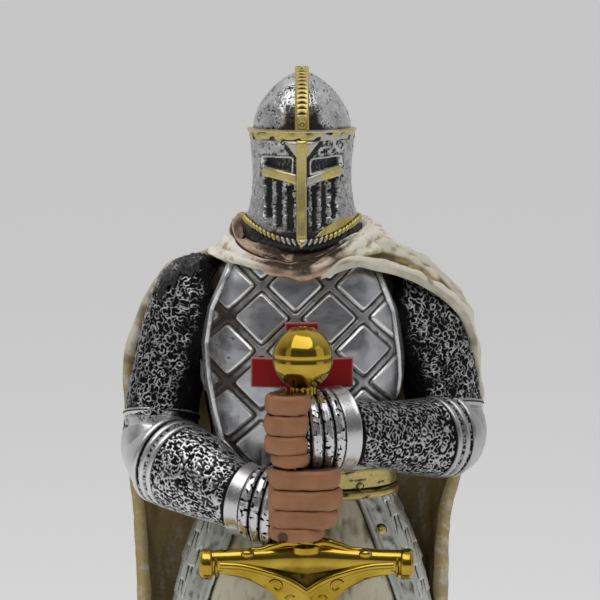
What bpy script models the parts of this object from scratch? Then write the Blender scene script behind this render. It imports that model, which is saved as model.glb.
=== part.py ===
"""Medieval knight statue: a cast figure in a closed helm, both fists on an upright sword, on a low base.

Every length is in millimetres in the figure's own frame: x to the viewer's right, y away from the
viewer, z up from the table, with the torso's axis at y = 0. add_solid() turns it into metres and
centres the plinth on the origin. "Right" and "left" in the names are the viewer's.
"""
import math

import bmesh
import bpy
import numpy as np

MM = 0.001
AXIS_Y = 6.0
GAP = 0.3

# Plinth and ground
PLINTH_HEIGHT = 14.0
PLINTH_HALF = (56.0, 46.0)
PLINTH_CENTRE_Y = -AXIS_Y
PLINTH_POWER = 3.2
# Height and inset of each line of the moulded edge
PLINTH_EDGE = ((0, 0), (4.0, 0), (5.2, 1.6), (8.0, 2.6), (9.4, 1.4), (12.6, 1.4), (PLINTH_HEIGHT, 2.8))
GROUND = PLINTH_HEIGHT + GAP

# Helm
HELM_Y = -3.0
HELM_DEPTH = 1.15
HELM_RIM_Z = 256.8
HELM_RIM_DIP = 5.7
HELM_BROW_Z = 282.3
HELM_TOP_Z = 299.0
DOME_HALF = (14.1, 16.2)
HELM_WALL_Z = (249.5, 256.8, 260.0, 265.0, 271.0, 278.0, 282.3)
HELM_WALL_HALF = (17.0, 16.1, 15.2, 14.4, 14.3, 14.9, 15.2)
HELM_KEEL = 0.7
# Corners, in x and z, of the plates on the helm's face: funnel, nasal bar and the two eye bars
HELM_PLATES = (
    ((-4.9, 279.6), (4.9, 279.6), (-1.6, 274.8), (1.6, 274.8)),
    ((-1.6, 276.0), (1.6, 276.0), (-1.6, 250.2), (1.6, 250.2)),
    ((-11.6, 272.0), (-1.4, 269.7), (-11.4, 269.4), (-1.4, 267.2)),
    ((1.4, 269.2), (11.6, 272.1), (1.4, 267.0), (11.4, 269.4)),
)
PLATE_LIFT = 1.0
PLATE_SINK = 1.5
# Height and growth of the brow band's section, and thickness of the cord at the lower edge
BROW_SECTION = ((279.2, -1.5), (279.2, 0.3), (282.6, 0.5), (282.6, -1.5))
RIM_CORD = 0.95
HELM_LEVELS = (0, 0.14, 0.4, 0.7, 1)
EYE_SLOTS = (
    ((-11.1, 274.6), (-2.8, 274.6), (-11.1, 272.2), (-2.8, 270.4)),
    ((2.6, 274.1), (10.9, 274.9), (2.6, 270.3), (10.9, 272.6)),
)
EYE_DEPTH = 1.6
# Middle, top and foot of each breathing slit
SLITS = (
    (-9.6, 268.4, 258.2), (-6.7, 267.8, 255.6), (-3.5, 266.4, 254.4),
    (3.8, 266.4, 254.3), (6.7, 267.8, 255.4), (9.1, 268.4, 257.8),
)
SLIT_HALF = 0.8
SLIT_DEPTH = 1.2
CREST_HALF = 2.1
CREST_LIFT = 1.25

# Padded lip under the helm: half-widths and thickness
GORGET_HALF = (14.0, 16.3)
GORGET_THICK = 3.1
GORGET_Z = 254.0
GORGET_RISE = 4.0
NECK_CORE = ((236, 13), (262, 13))

# Cowl round the neck: turns where its section is known, then radius and height at those turns, from
# under the helm over the band, the crease and the roll and back in below
COLLAR_TURNS = (-180, -90, -50, 0, 50, 90, 180)
COLLAR_SECTION = (
    ((17.5, 17.0, 17.3, 17.5, 17.0, 16.6, 17.5), (253.5, 251.0, 250.6, 248.6, 251.0, 252.5, 253.5)),
    ((19.0, 18.6, 19.4, 20.6, 18.0, 18.0, 19.0), (255.4, 252.6, 249.6, 246.8, 252.2, 254.0, 255.4)),
    ((21.0, 20.4, 21.1, 21.6, 19.2, 19.6, 21.0), (256.8, 255.3, 248.8, 245.5, 252.8, 254.9, 256.8)),
    ((22.4, 21.9, 22.3, 22.6, 21.2, 21.8, 22.4), (255.6, 251.2, 248.3, 245.2, 252.0, 254.4, 255.6)),
    ((23.5, 24.6, 23.7, 23.3, 22.9, 25.0, 23.5), (252.0, 248.0, 246.6, 243.2, 249.6, 251.0, 252.0)),
    ((22.5, 26.8, 23.0, 22.0, 22.3, 26.4, 22.5), (247.0, 245.8, 244.6, 240.9, 246.2, 246.6, 247.0)),
    ((17.0, 18.0, 17.0, 16.0, 17.0, 18.0, 17.0), (246.0, 243.0, 243.0, 241.5, 244.0, 244.0, 246.0)),
)

# Fold over the right shoulder: its lower edge and its top edge, as points that belong together
SHOULDER_LIP = (
    (5, -25.2, 243.4), (14.4, -22.5, 245.8), (21, -18, 244.3), (27.1, -15.5, 242.9), (32.9, -13.8, 240.6),
    (39.1, -11.5, 237.1), (44.4, -9, 232.8), (48.6, -4.5, 226.9), (50.9, 0.5, 217.8), (51.7, 2, 207.2),
    (51.5, 2.5, 196),
)
SHOULDER_TOP = (
    (8, -17, 247.5), (16, -12, 250.5), (23.3, -8, 251.6), (28.4, -5, 248.7), (33.3, -3, 247.1),
    (38.2, -1.5, 243.2), (43.2, 0, 238.3), (47.6, 2, 232.8), (50.6, 4, 221), (52.0, 5.5, 206),
    (52, 6, 196),
)
# Share of the way from lip to top, and the height of the cloth there: roll, groove, second fold, dip
SHOULDER_SECTION = ((0.0, 0.5), (0.10, 0.9), (0.38, -0.9), (0.72, 1.0), (0.95, -0.2))
SHOULDER_CORE = (20.0, 25.0, 222.0)
SHOULDER_BEHIND = (-2.5, 12.0, -3.5)
SHOULDER_THICK = 2.4

# Torso, belt and skirt: half-width, front and back depth by height
TORSO_Z = (91, 105, 120, 135, 150, 158, 167, 176, 188, 195, 204, 212, 221, 232, 240, 247, 253)
TORSO_HALF = (
    42.5, 41.5, 40, 38.2, 36, 34, 30.8, 27, 26.2, 26.6, 28.2, 29.2, 29.2, 28.4, 27, 20, 14.5,
)
TORSO_FRONT = (31, 30, 29, 28.2, 27, 25, 22.8, 20.5, 20.5, 21.8, 23.6, 24.2, 23.6, 21.5, 20, 17, 14)
TORSO_BACK = (28, 28, 28, 28, 28, 27.5, 27, 26, 25.5, 25.5, 25.5, 25.5, 25, 23.5, 21, 17, 14)
TORSO_POWER = 2.3
BELT_TOP_Z = 185.3
BELT_GROOVE_Z = 179.6
BELT_FOOT_Z = 177.2
BELT_HEIGHT = 1.5
BELT_GROOVE = 0.7
TORSO_SIDES = 32
SKIRT_HEM_Z = 91.0
# Inner edge of the skirt's bands by height, and their width
BAND_Z = (91, 120, 149.6, 164.3, 177.5)
BAND_INNER = (29.5, 28.8, 26.0, 20.3, 15.3)
BAND_WIDTH = 6.8
BAND_TOP_Z = 175.0
BAND_LIFT = 1.0

# Diamond pads of the breastplate: x and z of the first one, steps between like rows, half sizes
PAD_FIRST = (-1.85, 229.2)
PAD_PITCH = (19.1, 18.3)
PAD_HALF = (7.7, 7.2)
PAD_LIFT = 0.9
PAD_ROWS = 8
PAD_REACH = (21.0, 17.0)
PAD_NARROW_Z = 230.0
PAD_SPAN_Z = (190.0, 238.0)

# Cross: reach of its arms, half their width, and the height of its middle
CROSS_REACH = (14.5, 14.2)
CROSS_HALF = (4.8, 4.2)
CROSS_Z = 214.2
CROSS_LIFT = 1.35

# Cape by height: reach to either side, depth behind, and how far forward each edge comes
CAPE_TOP_Z = 252.0
CAPE_HEM_Z = 15.6
CAPE_THICK = 2.8
CAPE_HEM_THICK = 2.6
CAPE_ROWS = (0.15, 0.24, 0.36, 0.5, 0.66, 0.83, 1)
# Folds across the back: how many turns of each wave, where it starts and its share
CAPE_WAVES = ((9.2, 0.6, 1.0), (15.7, 2.0, 0.5))
CAPE_FOLD_TOP_Z = 235.0
CAPE_FOLD_RANGE = 220.0
LINING_SHARE = 0.95
LINING_INSET = 4.0
CAPE_Z = (15, 60, 110, 145, 170, 190, 205, 215, 226, 232, 236, 240, 243.5, 247, 250, 252)
CAPE_RIGHT = (43.5, 43.5, 43.1, 42.8, 44, 48.8, 52, 51.5, 50, 48.2, 45.3, 41.3, 38, 33, 26, 23)
CAPE_LEFT = (48.5, 48.5, 48.1, 48.8, 50, 51.8, 53, 52.5, 48.9, 46.4, 44.2, 41.3, 37.5, 27, 22.5, 21)
CAPE_BACK = (34, 33, 31.5, 30.5, 29.5, 28.5, 28, 27.5, 26, 24.5, 23.4, 22.2, 21, 19, 17, 15.5)
CAPE_EDGE_RIGHT = (3, 3, 3, 3, 3, 3, 3, 2, 1, -1, -3, -5, -7, -8, -9, -9)
CAPE_EDGE_LEFT = (4, 4, 5, 7, 8, 9, 9, 9, 9, 8, 7.5, 6, 5, 3, 1, 0)

# Sword
SWORD_Y = -37.0
SWORD_LEAN = -0.0175
GRIP_RADIUS = 3.2
GRIP_FOOT_Z = 165.0
GRIP_TOP_Z = 214.0
COLLAR_Z = 165.6
CLEARANCE = 0.4
POMMEL_Z = 220.0
POMMEL_RADIUS = 8.7
GUARD_Z = 161.3
GUARD_HALF = 30.0
# Across, up from the middle, half height and half depth of the cross bar
GUARD_BAR = (
    (-27.5, 1.1, 3.2, 3.0), (-13, 1.5, 3.7, 3.3), (0, 1.6, 4.9, 3.6), (13, 1.5, 3.7, 3.3),
    (27.5, 1.1, 3.2, 3.0),
)
# Distance along and radius of the turned ends
GUARD_KNOB = ((-0.9, 3.6), (0.4, 3.4), (0.7, 4.3), (3.4, 4.4), (4.3, 2.6))
# Height, half-width and half-depth of the langet
LANGET = (
    (160.6, 26.0, 1.6), (159.2, 24.5, 1.7), (158.2, 19.5, 2.0), (155.4, 12.5, 2.4), (152.0, 8.4, 2.5),
    (143.0, 5.2, 2.4), (133.0, 1.0, 1.6),
)
# Height, half-width and half-thickness of the blade
BLADE = ((159, 5.2, 1.7), (60, 4.2, 1.5), (28, 3.6, 1.3), (19, 2.4, 1.1), (GROUND, 0.5, 0.6))

# Hands, cuffs and arms
UPPER_FIST = (-0.8, -38.0, 200.6)
LOWER_FIST = (1.6, -38.0, 179.8)
# Bend of a finger seen from above, from the cuff round the grip
UPPER_BEND = ((0.8, 3.0), (0.6, -3.0), (-1.2, -7.9), (-5.4, -7.2), (-7.0, -2.4), (-5.4, 2.0))
LOWER_BEND = ((8.6, -1.6), (7.2, -6.6), (0.6, -8.2), (-5.4, -7.2), (-7.0, -2.4), (-5.4, 2.0))
# Fist, its side, the bend of its fingers and how much further each finger reaches
FISTS = (
    (UPPER_FIST, 1, UPPER_BEND, (0.0, 0.2, 0.1, -1.7)),
    (LOWER_FIST, -1, LOWER_BEND, (-0.5, 0.1, -1.2, -5.0)),
)
FINGER_Z = (7.2, 1.5, -3.9, -8.2)
FINGER_HALF = (2.9, 3.0, 2.75, 2.1)
FINGER_THICK = 2.7
PALM = ((8.0, 5.5, 6.0, 8.4), (4.5, 2.6, 6.5, 8.6), (0, 1.6, 6.2, 9.0), (-5.5, 1.8, 4.5, 8.4))
THUMB = (
    (-6.4, -38.5, 187.5, 2.2, 2.6), (-7.4, -42.4, 184.0, 2.0, 2.2), (-7.6, -43.4, 178.0, 1.8, 2.0),
    (-7.2, -43.0, 172.4, 1.6, 1.8),
)
# Middle line of each cuff, length of its flange, and radius at the flange and at the hand
CUFFS = (
    (((-17.0, -27.6, 178.8), (-12.4, -30.1, 177.9), (-8.4, -31.4, 177.2), (-1.4, -32.2, 176.1)),
     4.2, 9.9, 11.3),
    (((11.6, -29.5, 199.0), (6.6, -32.0, 198.8), (1.6, -33.6, 198.5), (-5.4, -34.4, 198.1)),
     4.6, 11.7, 12.0),
)
CUFF_BAND = 2.5
CUFF_TIP = 3.2

# Arms: stations of x, y, z and two half-widths
UPPER_ARMS = (
    ((-25, 0, 243, 5, 5), (-28.2, 1, 237.5, 11, 11.5), (-33, 2, 226, 12.4, 12.6),
     (-38, 2, 214, 10.4, 11.6), (-40.4, 1, 203, 10.4, 11), (-42.5, 0, 190, 9.8, 10.5)),
    ((27, 0, 240, 5, 5), (30.0, 0, 235, 9.5, 10.0), (34.9, 1, 226, 11.4, 11.6),
     (39.4, 2, 214, 10.8, 11.8), (41.2, 1, 203, 10.6, 11), (43.5, 0, 192, 9.8, 10.5)),
)
LOWER_ARMS = (
    ((-44, 3, 188.5, 8, 8), (-41, -4, 187, 11.6, 11.8), (-30, -15, 183.5, 12.2, 12.0),
     (-20, -24, 179.4, 9.4, 9.4), (-12, -32, 177.4, 8.2, 8.4)),
    ((46, 3, 193, 8, 8), (43, -3, 193.5, 11.2, 11.6), (34, -11, 193.8, 11.0, 11.0),
     (25, -20, 195.6, 9.4, 9.6), (12, -32, 198.3, 8.2, 9.0)),
)
# Elbows: caps by centre and half-sizes, rims by centre and axis, ridges by centre, axis and radius
ELBOW_CAPS = (((-42.6, 0.0, 190.0), (10.2, 12.4, 12.5)), ((44.2, 0.0, 194.0), (9.6, 12.4, 12.5)))
ELBOW_RIMS = (((-41.0, 0.5, 197.6), (0.05, 0.30, 1)), ((41.8, 0.5, 200.6), (-0.05, 0.25, 1)))
ELBOW_RIDGES = (
    ((-37.0, -9.5, 186.0), (0.7, -0.71, -0.22), 12.9),
    ((39.5, -7.0, 193.6), (-0.72, -0.69, 0), 12.1),
)
RIM_PROFILE = ((-5.5, 9.6), (-0.4, 10.7), (0.7, 11.3), (1.9, 9.2))
RIDGE_PROFILE = ((-1.9, -1.6), (-0.7, 0.2), (0.7, 0.2), (1.9, -1.6))
RIDGE_PITCH = 2.9
# Flap on the left shoulder: its ends, its front and depth, its height, droop and wavy edge
FLAP_X = (-41.6, -29.4)
FLAP_Y = (-8.8, 9.3)
FLAP_Z = 245.9
FLAP_DROOP = 0.055
FLAP_SLOPE = 2.4
FLAP_WAVE = 0.8
FLAP_THICK = 2.3

# Legs: y, z and two half-widths down one leg, and the shoe by distance forward, half-width and height
LEG_X = 17.0
LEG = (
    (-1, 104, 11.5, 12), (-2, 92, 10.4, 11), (-2, 80, 8.8, 9.4), (1, 62, 9.4, 10.2),
    (2, 42, 7.6, 8.2), (1, 27, 6.4, 7.0), (0, 17, 6.4, 7.0),
)
KNEE = ((-7.0, 88.5), (9.4, 7.0, 9.0))
KNEE_RIM = ((-2.0, 7), (-1.4, 10.4), (1.4, 10.4), (2.0, 7))
KNEE_RIM_Z = 79.0
SHOE = (
    (-9, 3.2, 5), (-7, 5.4, 9), (-1, 6.6, 13), (6, 6.8, 13.5), (12, 6.9, 10.5), (18, 6.9, 8.2),
    (24, 5.8, 6.4), (29, 3.8, 4.8), (32, 1.8, 3.4),
)
SHOE_TURN = math.radians(15)

# Share of the joined figure's triangles that is kept
KNIGHT_SHARE = 0.455


def smooth(stations, values, at):
    """Read a curve that runs smoothly through values given at rising stations."""
    stations = np.asarray(stations, float)
    values = np.asarray(values, float)
    at = np.clip(np.asarray(at, float), stations[0], stations[-1])
    slopes = np.gradient(values, stations, axis=0)
    i = np.clip(np.searchsorted(stations, at, side="right") - 1, 0, len(stations) - 2)
    width = stations[i + 1] - stations[i]
    t = (at - stations[i]) / width
    if values.ndim > 1:
        t, width = t[..., None], width[..., None]
    start = (2 * t**3 - 3 * t**2 + 1) * values[i] + (t**3 - 2 * t**2 + t) * width * slopes[i]
    return start + (3 * t**2 - 2 * t**3) * values[i + 1] + (t**3 - t**2) * width * slopes[i + 1]


def through(points, count):
    """Points spaced along a smooth curve through a few chosen ones."""
    points = np.asarray(points, float)
    steps = np.linalg.norm(np.diff(points[:, :3], axis=0), axis=1)
    along = np.concatenate([[0.0], np.cumsum(steps)])
    return smooth(along, points, np.linspace(0.0, along[-1], count))


def around(count):
    """Equal steps round a full turn."""
    return np.arange(count) * 2 * math.pi / count


def rounded(angle, power):
    """Unit superellipse: cosine and sine flattened by a power, 2 being a circle."""
    c, s = np.cos(angle), np.sin(angle)
    return np.sign(c) * np.abs(c) ** (2 / power), np.sign(s) * np.abs(s) ** (2 / power)


# Solids from grids of points
def loft(rings, flat_ends=False):
    """Skin a stack of closed rings and close both ends."""
    count, sides = rings.shape[:2]
    points = list(rings.reshape(-1, 3))
    faces = []
    for i in range(count - 1):
        for j in range(sides):
            k = (j + 1) % sides
            faces.append((i * sides + j, i * sides + k, (i + 1) * sides + k, (i + 1) * sides + j))
    for row, step in ((0, -1), (count - 1, 1)):
        ring = [row * sides + j for j in range(sides)][::step]
        if flat_ends:
            faces.append(tuple(ring))
            continue
        points.append(rings[row].mean(axis=0))
        faces += [(ring[j], ring[(j + 1) % sides], len(points) - 1) for j in range(sides)]
    return points, faces


def slab(top, bottom):
    """Close the space between two matching open grids of points."""
    rows, cols = top.shape[:2]
    size = rows * cols
    points = list(top.reshape(-1, 3)) + list(bottom.reshape(-1, 3))
    faces = []
    for i in range(rows - 1):
        for j in range(cols - 1):
            a = i * cols + j
            quad = (a, a + 1, a + cols + 1, a + cols)
            faces.append(quad)
            faces.append(tuple(size + n for n in reversed(quad)))
    border = list(range(cols))
    border += [i * cols + cols - 1 for i in range(1, rows)]
    border += [(rows - 1) * cols + j for j in range(cols - 2, -1, -1)]
    border += [i * cols for i in range(rows - 2, 0, -1)]
    for n, a in enumerate(border):
        b = border[(n + 1) % len(border)]
        faces.append((b, a, size + a, size + b))
    return points, faces


def ring_band(loops):
    """Skin closed loops into a closed hoop: the last loop joins the first."""
    count, sides = loops.shape[:2]
    faces = []
    for i in range(count):
        for j in range(sides):
            k, m = (j + 1) % sides, (i + 1) % count
            faces.append((i * sides + j, i * sides + k, m * sides + k, m * sides + j))
    return list(loops.reshape(-1, 3)), faces


def sweep(stations, count, sides, reference, power=2.0):
    """Tube through stations of x, y, z, half-width across and half-width along the reference."""
    path = through(stations, count)
    centres, halves = path[:, :3], path[:, 3:5]
    tangents = np.gradient(centres, axis=0)
    tangents /= np.linalg.norm(tangents, axis=1)[:, None]
    across = np.cross(tangents, np.asarray(reference, float))
    across /= np.linalg.norm(across, axis=1)[:, None]
    along = np.cross(across, tangents)
    c, s = rounded(around(sides), power)
    rings = (
        centres[:, None]
        + across[:, None] * (halves[:, :1] * c)[..., None]
        + along[:, None] * (halves[:, 1:] * s)[..., None]
    )
    return loft(rings)


def turned(profile, centre, axis, sides, phase=0.0):
    """Revolve a profile of distance along and radius about an axis through a centre."""
    axis = np.asarray(axis, float) / np.linalg.norm(axis)
    helper = np.array([0.0, 0.0, 1.0]) if abs(axis[2]) < 0.9 else np.array([0.0, 1.0, 0.0])
    u = np.cross(helper, axis)
    u /= np.linalg.norm(u)
    v = np.cross(axis, u)
    angle = phase + around(sides)
    spoke = np.cos(angle)[:, None] * u + np.sin(angle)[:, None] * v
    rings = [np.asarray(centre) + along * axis + radius * spoke for along, radius in profile]
    return loft(np.array(rings))


def ellipsoid(centre, halves, sides=12, rows=7):
    """Closed ball with its poles up and down."""
    tilt = np.linspace(-0.5, 0.5, rows + 1)[:, None] * math.pi * 0.94
    turn = np.arange(sides)[None] * 2 * math.pi / sides
    rings = np.stack(
        [
            centre[0] + halves[0] * np.cos(tilt) * np.cos(turn),
            centre[1] + halves[1] * np.cos(tilt) * np.sin(turn),
            centre[2] + halves[2] * np.sin(tilt) + 0 * turn,
        ],
        axis=-1,
    )
    return loft(rings)


def on_surface(surface, x, z, lift, sink):
    """Slab that follows a front surface y = surface(x, z), proud of it by lift."""
    y = surface(x, z)
    top = np.stack([x, y - lift, z], axis=-1)
    bottom = np.stack([x, y + sink + 0 * z, z], axis=-1)
    return slab(top, bottom)


def quad_grid(corners, rows, cols):
    """Spread rows by cols points between four x, z corners: two on top, then two below."""
    corners = np.asarray(corners, float)
    v = np.linspace(0, 1, rows)[:, None, None]
    u = np.linspace(0, 1, cols)[None, :, None]
    top = corners[0] * (1 - u) + corners[1] * u
    foot = corners[2] * (1 - u) + corners[3] * u
    spread = top * (1 - v) + foot * v
    return spread[..., 0], spread[..., 1]


# Helm
def helm_half(z):
    """Half-width of the helm's wall at a height."""
    return smooth(HELM_WALL_Z, HELM_WALL_HALF, z)


def helm_rim(turn):
    """Height of the helm's lower edge, which dips to a point in front."""
    return HELM_RIM_Z - HELM_RIM_DIP * np.clip(np.cos(turn), 0, 1) ** 2.4


def helm_ring(z, turn, grow=0.0):
    """Points round the helm's wall; turn is 0 in front and rises to the viewer's right."""
    half = helm_half(z) + grow
    keel = HELM_KEEL * np.clip(np.cos(turn), 0, 1) ** 12
    return np.stack(
        [half * np.sin(turn), HELM_Y - (HELM_DEPTH * half + keel) * np.cos(turn), z + 0 * turn],
        axis=-1,
    )


def helm_front(x, z):
    """Depth of the helm's front at x and z."""
    half = helm_half(z)
    cos = np.sqrt(np.clip(1 - (x / half) ** 2, 0, 1))
    return HELM_Y - (HELM_DEPTH * half + HELM_KEEL * cos**12) * cos


def dome_shape(tilt):
    """Share of the dome's half-width and of its height at an angle up from the brow and over."""
    tall = np.sin(tilt)
    wide = np.clip(1 - tall**1.9, 0, 1) ** 0.72
    return np.sign(np.cos(tilt)) * wide, tall


def helm_shell():
    """Closed helm: wall from the dipped rim up to the brow, then the dome."""
    turn = around(24)
    rings = []
    for t in HELM_LEVELS:
        z = helm_rim(turn) * (1 - t) + HELM_BROW_Z * t
        rings.append(helm_ring(z, turn))
    for t in np.linspace(0.02, 0.93, 7):
        wide, tall = dome_shape(t * math.pi / 2)
        x = DOME_HALF[0] * wide * np.sin(turn)
        y = HELM_Y - DOME_HALF[1] * wide * np.cos(turn)
        z = HELM_BROW_Z + (HELM_TOP_Z - HELM_BROW_Z) * tall + 0 * turn
        rings.append(np.stack([x, y, z], axis=-1))
    return loft(np.array(rings))


def helm_trims():
    """Brow band, nasal bar with its funnel, eye bars, crest strip and beaded rim."""
    turn = around(24)
    brow = [helm_ring(z, turn, grow) for z, grow in BROW_SECTION]
    rim = []
    for angle in around(4):
        z = helm_rim(turn) + 0.2 + RIM_CORD * math.sin(angle)
        rim.append(helm_ring(z, turn, 0.4 + RIM_CORD * math.cos(angle)))
    shells = [ring_band(np.array(brow)), ring_band(np.array(rim))]
    for corners in HELM_PLATES:
        x, z = quad_grid(corners, 2, 3)
        shells.append(on_surface(helm_front, x, z, PLATE_LIFT, PLATE_SINK))
    shells.append(helm_crest())
    return shells


def helm_crest():
    """Strip that runs over the dome from the brow stud to the nape."""
    tilt = np.linspace(0.01, 0.96, 15) * math.pi
    wide, tall = dome_shape(tilt)
    run = np.stack([HELM_Y - DOME_HALF[1] * wide, HELM_BROW_Z + (HELM_TOP_Z - HELM_BROW_Z) * tall], axis=-1)
    ahead = np.gradient(run, axis=0)
    ahead /= np.linalg.norm(ahead, axis=1)[:, None]
    out = np.stack([-ahead[:, 1], ahead[:, 0]], axis=-1)
    rows = []
    for side, lift in ((-1, -1.6), (-1, 0.9), (0, CREST_LIFT), (1, 0.9), (1, -1.6)):
        level = run + out * lift
        rows.append(np.stack([side * CREST_HALF + 0 * tilt, level[:, 0], level[:, 1]], axis=-1))
    return loft(np.array(rows).transpose(1, 0, 2))


def prism_cutter(corners, depth, surface, reach=6.0):
    """Closed block that cuts a recess of one depth into a front surface."""
    x, z = quad_grid(corners, 2, 2)
    y = surface(x, z)
    return slab(np.stack([x, y - reach, z], axis=-1), np.stack([x, y + depth, z], axis=-1))


def helm_openings():
    """Cutters for the two eye slots and six breathing slits."""
    shells = [prism_cutter(corners, EYE_DEPTH, helm_front) for corners in EYE_SLOTS]
    for x, top, foot in SLITS:
        left, right = x - SLIT_HALF, x + SLIT_HALF
        corners = ((left, top), (right, top), (left, foot), (right, foot))
        shells.append(prism_cutter(corners, SLIT_DEPTH, helm_front))
    return shells


# Neck and collar
def gorget():
    """Padded lip under the helm, on a core that fills the neck."""
    turn = around(20)
    loops = []
    for angle in around(5):
        reach = GORGET_THICK * math.cos(angle)
        z = GORGET_Z - GORGET_RISE * np.cos(turn) + GORGET_THICK * math.sin(angle)
        x = (GORGET_HALF[0] + reach) * np.sin(turn)
        y = HELM_Y - (GORGET_HALF[1] + reach) * np.cos(turn)
        loops.append(np.stack([x, y, z], axis=-1))
    core = turned(NECK_CORE, (0, HELM_Y, 0), (0, 0, 1), 12)
    return [ring_band(np.array(loops)), core]


def collar():
    """Cowl of cloth round the neck: an inner band, then a roll that rises to the viewer's right."""
    turn = np.linspace(-math.pi, math.pi, 25)[:-1]
    loops = []
    for radii, heights in COLLAR_SECTION:
        radius = smooth(COLLAR_TURNS, radii, np.degrees(turn))
        height = smooth(COLLAR_TURNS, heights, np.degrees(turn))
        loops.append(np.stack([radius * np.sin(turn), HELM_Y - radius * np.cos(turn), height], axis=-1))
    return [ring_band(np.array(loops)), shoulder_fold()]


def shoulder_fold():
    """Cloth laid over the right shoulder, with a rolled lip and a second fold above it."""
    along = np.linspace(0, len(SHOULDER_LIP) - 1, 16)
    lip = smooth(np.arange(len(SHOULDER_LIP)), SHOULDER_LIP, along)
    top = smooth(np.arange(len(SHOULDER_TOP)), SHOULDER_TOP, along)
    rows, lifts = [], []
    for share, lift in SHOULDER_SECTION:
        rows.append(lip * (1 - share) + top * share)
        lifts.append(lift)
    rows.append(top + np.array(SHOULDER_BEHIND))
    lifts.append(0.0)
    sheet = np.array(rows)
    out = sheet - np.array(SHOULDER_CORE)
    out /= np.linalg.norm(out, axis=-1, keepdims=True)
    outer = sheet + out * np.array(lifts)[:, None, None]
    return slab(outer, sheet - out * SHOULDER_THICK)


# Torso and skirt
def torso_front(x, z):
    """Depth of the breastplate and the skirt at x and z, without the belt."""
    half = smooth(TORSO_Z, TORSO_HALF, z)
    front = smooth(TORSO_Z, TORSO_FRONT, z)
    return -front * np.clip(1 - np.abs(x / half) ** TORSO_POWER, 0, 1) ** (1 / TORSO_POWER)


def torso():
    """Breastplate, belt and flared skirt as one loft."""
    belt = [BELT_FOOT_Z, BELT_GROOVE_Z, BELT_TOP_Z]
    heights = sorted(set(TORSO_Z) | {BELT_FOOT_Z - 0.4, BELT_TOP_Z + 0.4} | set(belt))
    c, s = rounded(around(TORSO_SIDES), TORSO_POWER)
    rings = []
    for z in heights:
        grow = BELT_HEIGHT if z in belt else 0.0
        if z == BELT_GROOVE_Z:
            grow = BELT_GROOVE
        half = smooth(TORSO_Z, TORSO_HALF, z) + grow
        front = smooth(TORSO_Z, TORSO_FRONT, z) + grow
        back = smooth(TORSO_Z, TORSO_BACK, z)
        rings.append(np.stack([half * c, np.where(s < 0, front, back) * s, z + 0 * c], axis=-1))
    return loft(np.array(rings))


def quilting():
    """Raised diamond pads of the breastplate between flat crossing straps."""
    shells = []
    for row in range(-1, PAD_ROWS):
        z = PAD_FIRST[1] - PAD_PITCH[1] / 2 * row
        shift = 0.0 if row % 2 else PAD_PITCH[0] / 2
        for column in range(-2, 3):
            x = PAD_FIRST[0] + PAD_PITCH[0] * column + shift
            reach = PAD_REACH[1] if z > PAD_NARROW_Z else PAD_REACH[0]
            if abs(x) <= reach and PAD_SPAN_Z[0] <= z <= PAD_SPAN_Z[1]:
                shells.append(pad(x, z))
    return shells


def pad(x, z):
    """One raised diamond, highest in its middle."""
    half_x, half_z = PAD_HALF
    corners = ((x - half_x, z), (x, z + half_z), (x, z - half_z), (x + half_x, z))
    xs, zs = quad_grid(corners, 3, 3)
    lift = np.full((3, 3), PAD_LIFT)
    lift[1, 1] += 0.4
    return on_surface(torso_front, xs, zs, lift, 0.6)


def breastplate_cross():
    """Flat raised cross with four equal arms."""
    shells = []
    for half_x, half_z in ((CROSS_REACH[0], CROSS_HALF[1]), (CROSS_HALF[0], CROSS_REACH[1])):
        low, high = CROSS_Z - half_z, CROSS_Z + half_z
        corners = ((-half_x, high), (half_x, high), (-half_x, low), (half_x, low))
        shells.append(on_surface(torso_front, *quad_grid(corners, 3, 5), CROSS_LIFT, 0.8))
    return shells


def skirt_bands():
    """Two bands that run down beside the middle panel."""
    shells = []
    z = np.linspace(BAND_TOP_Z, SKIRT_HEM_Z + 1.5, 7)[:, None]
    inner = smooth(BAND_Z, BAND_INNER, z)
    for side in (-1, 1):
        x = side * np.concatenate([inner, inner + BAND_WIDTH], axis=1)
        shells.append(on_surface(torso_front, x, z + 0 * x, BAND_LIFT, 0.8))
    return shells


# Cape
def cape_point(u, v, folded=1.0):
    """Face of the cape: u runs from its left edge at -1 round the back to 1, v down from 0."""
    z = CAPE_TOP_Z + (CAPE_HEM_Z - CAPE_TOP_Z) * v
    low = np.clip((CAPE_FOLD_TOP_Z - z) / CAPE_FOLD_RANGE, 0, 1)
    turn = u * math.pi / 2
    (many, start, share), (finer, begin, part) = CAPE_WAVES
    fold = share * np.sin(many * turn + start + 1.1 * low) + part * np.sin(finer * turn + begin)
    fold = fold * (0.4 + 2.4 * low) * np.clip(1.25 - np.abs(u) ** 6, 0, 1)
    fold = np.where(z > CAPE_FOLD_TOP_Z, 0, fold) * folded
    reach = np.where(u > 0, smooth(CAPE_Z, CAPE_RIGHT, z), smooth(CAPE_Z, CAPE_LEFT, z))
    half = reach + 0.35 * fold
    back = smooth(CAPE_Z, CAPE_BACK, z) + fold
    right = smooth(CAPE_Z, CAPE_EDGE_RIGHT, z)
    left = smooth(CAPE_Z, CAPE_EDGE_LEFT, z)
    edge = np.where(u > 0, right, left)
    x = half * np.sin(turn)
    y = edge + (back - edge) * np.cos(turn) ** 0.8
    return np.stack([x, y, z + 0 * u], axis=-1)


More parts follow.
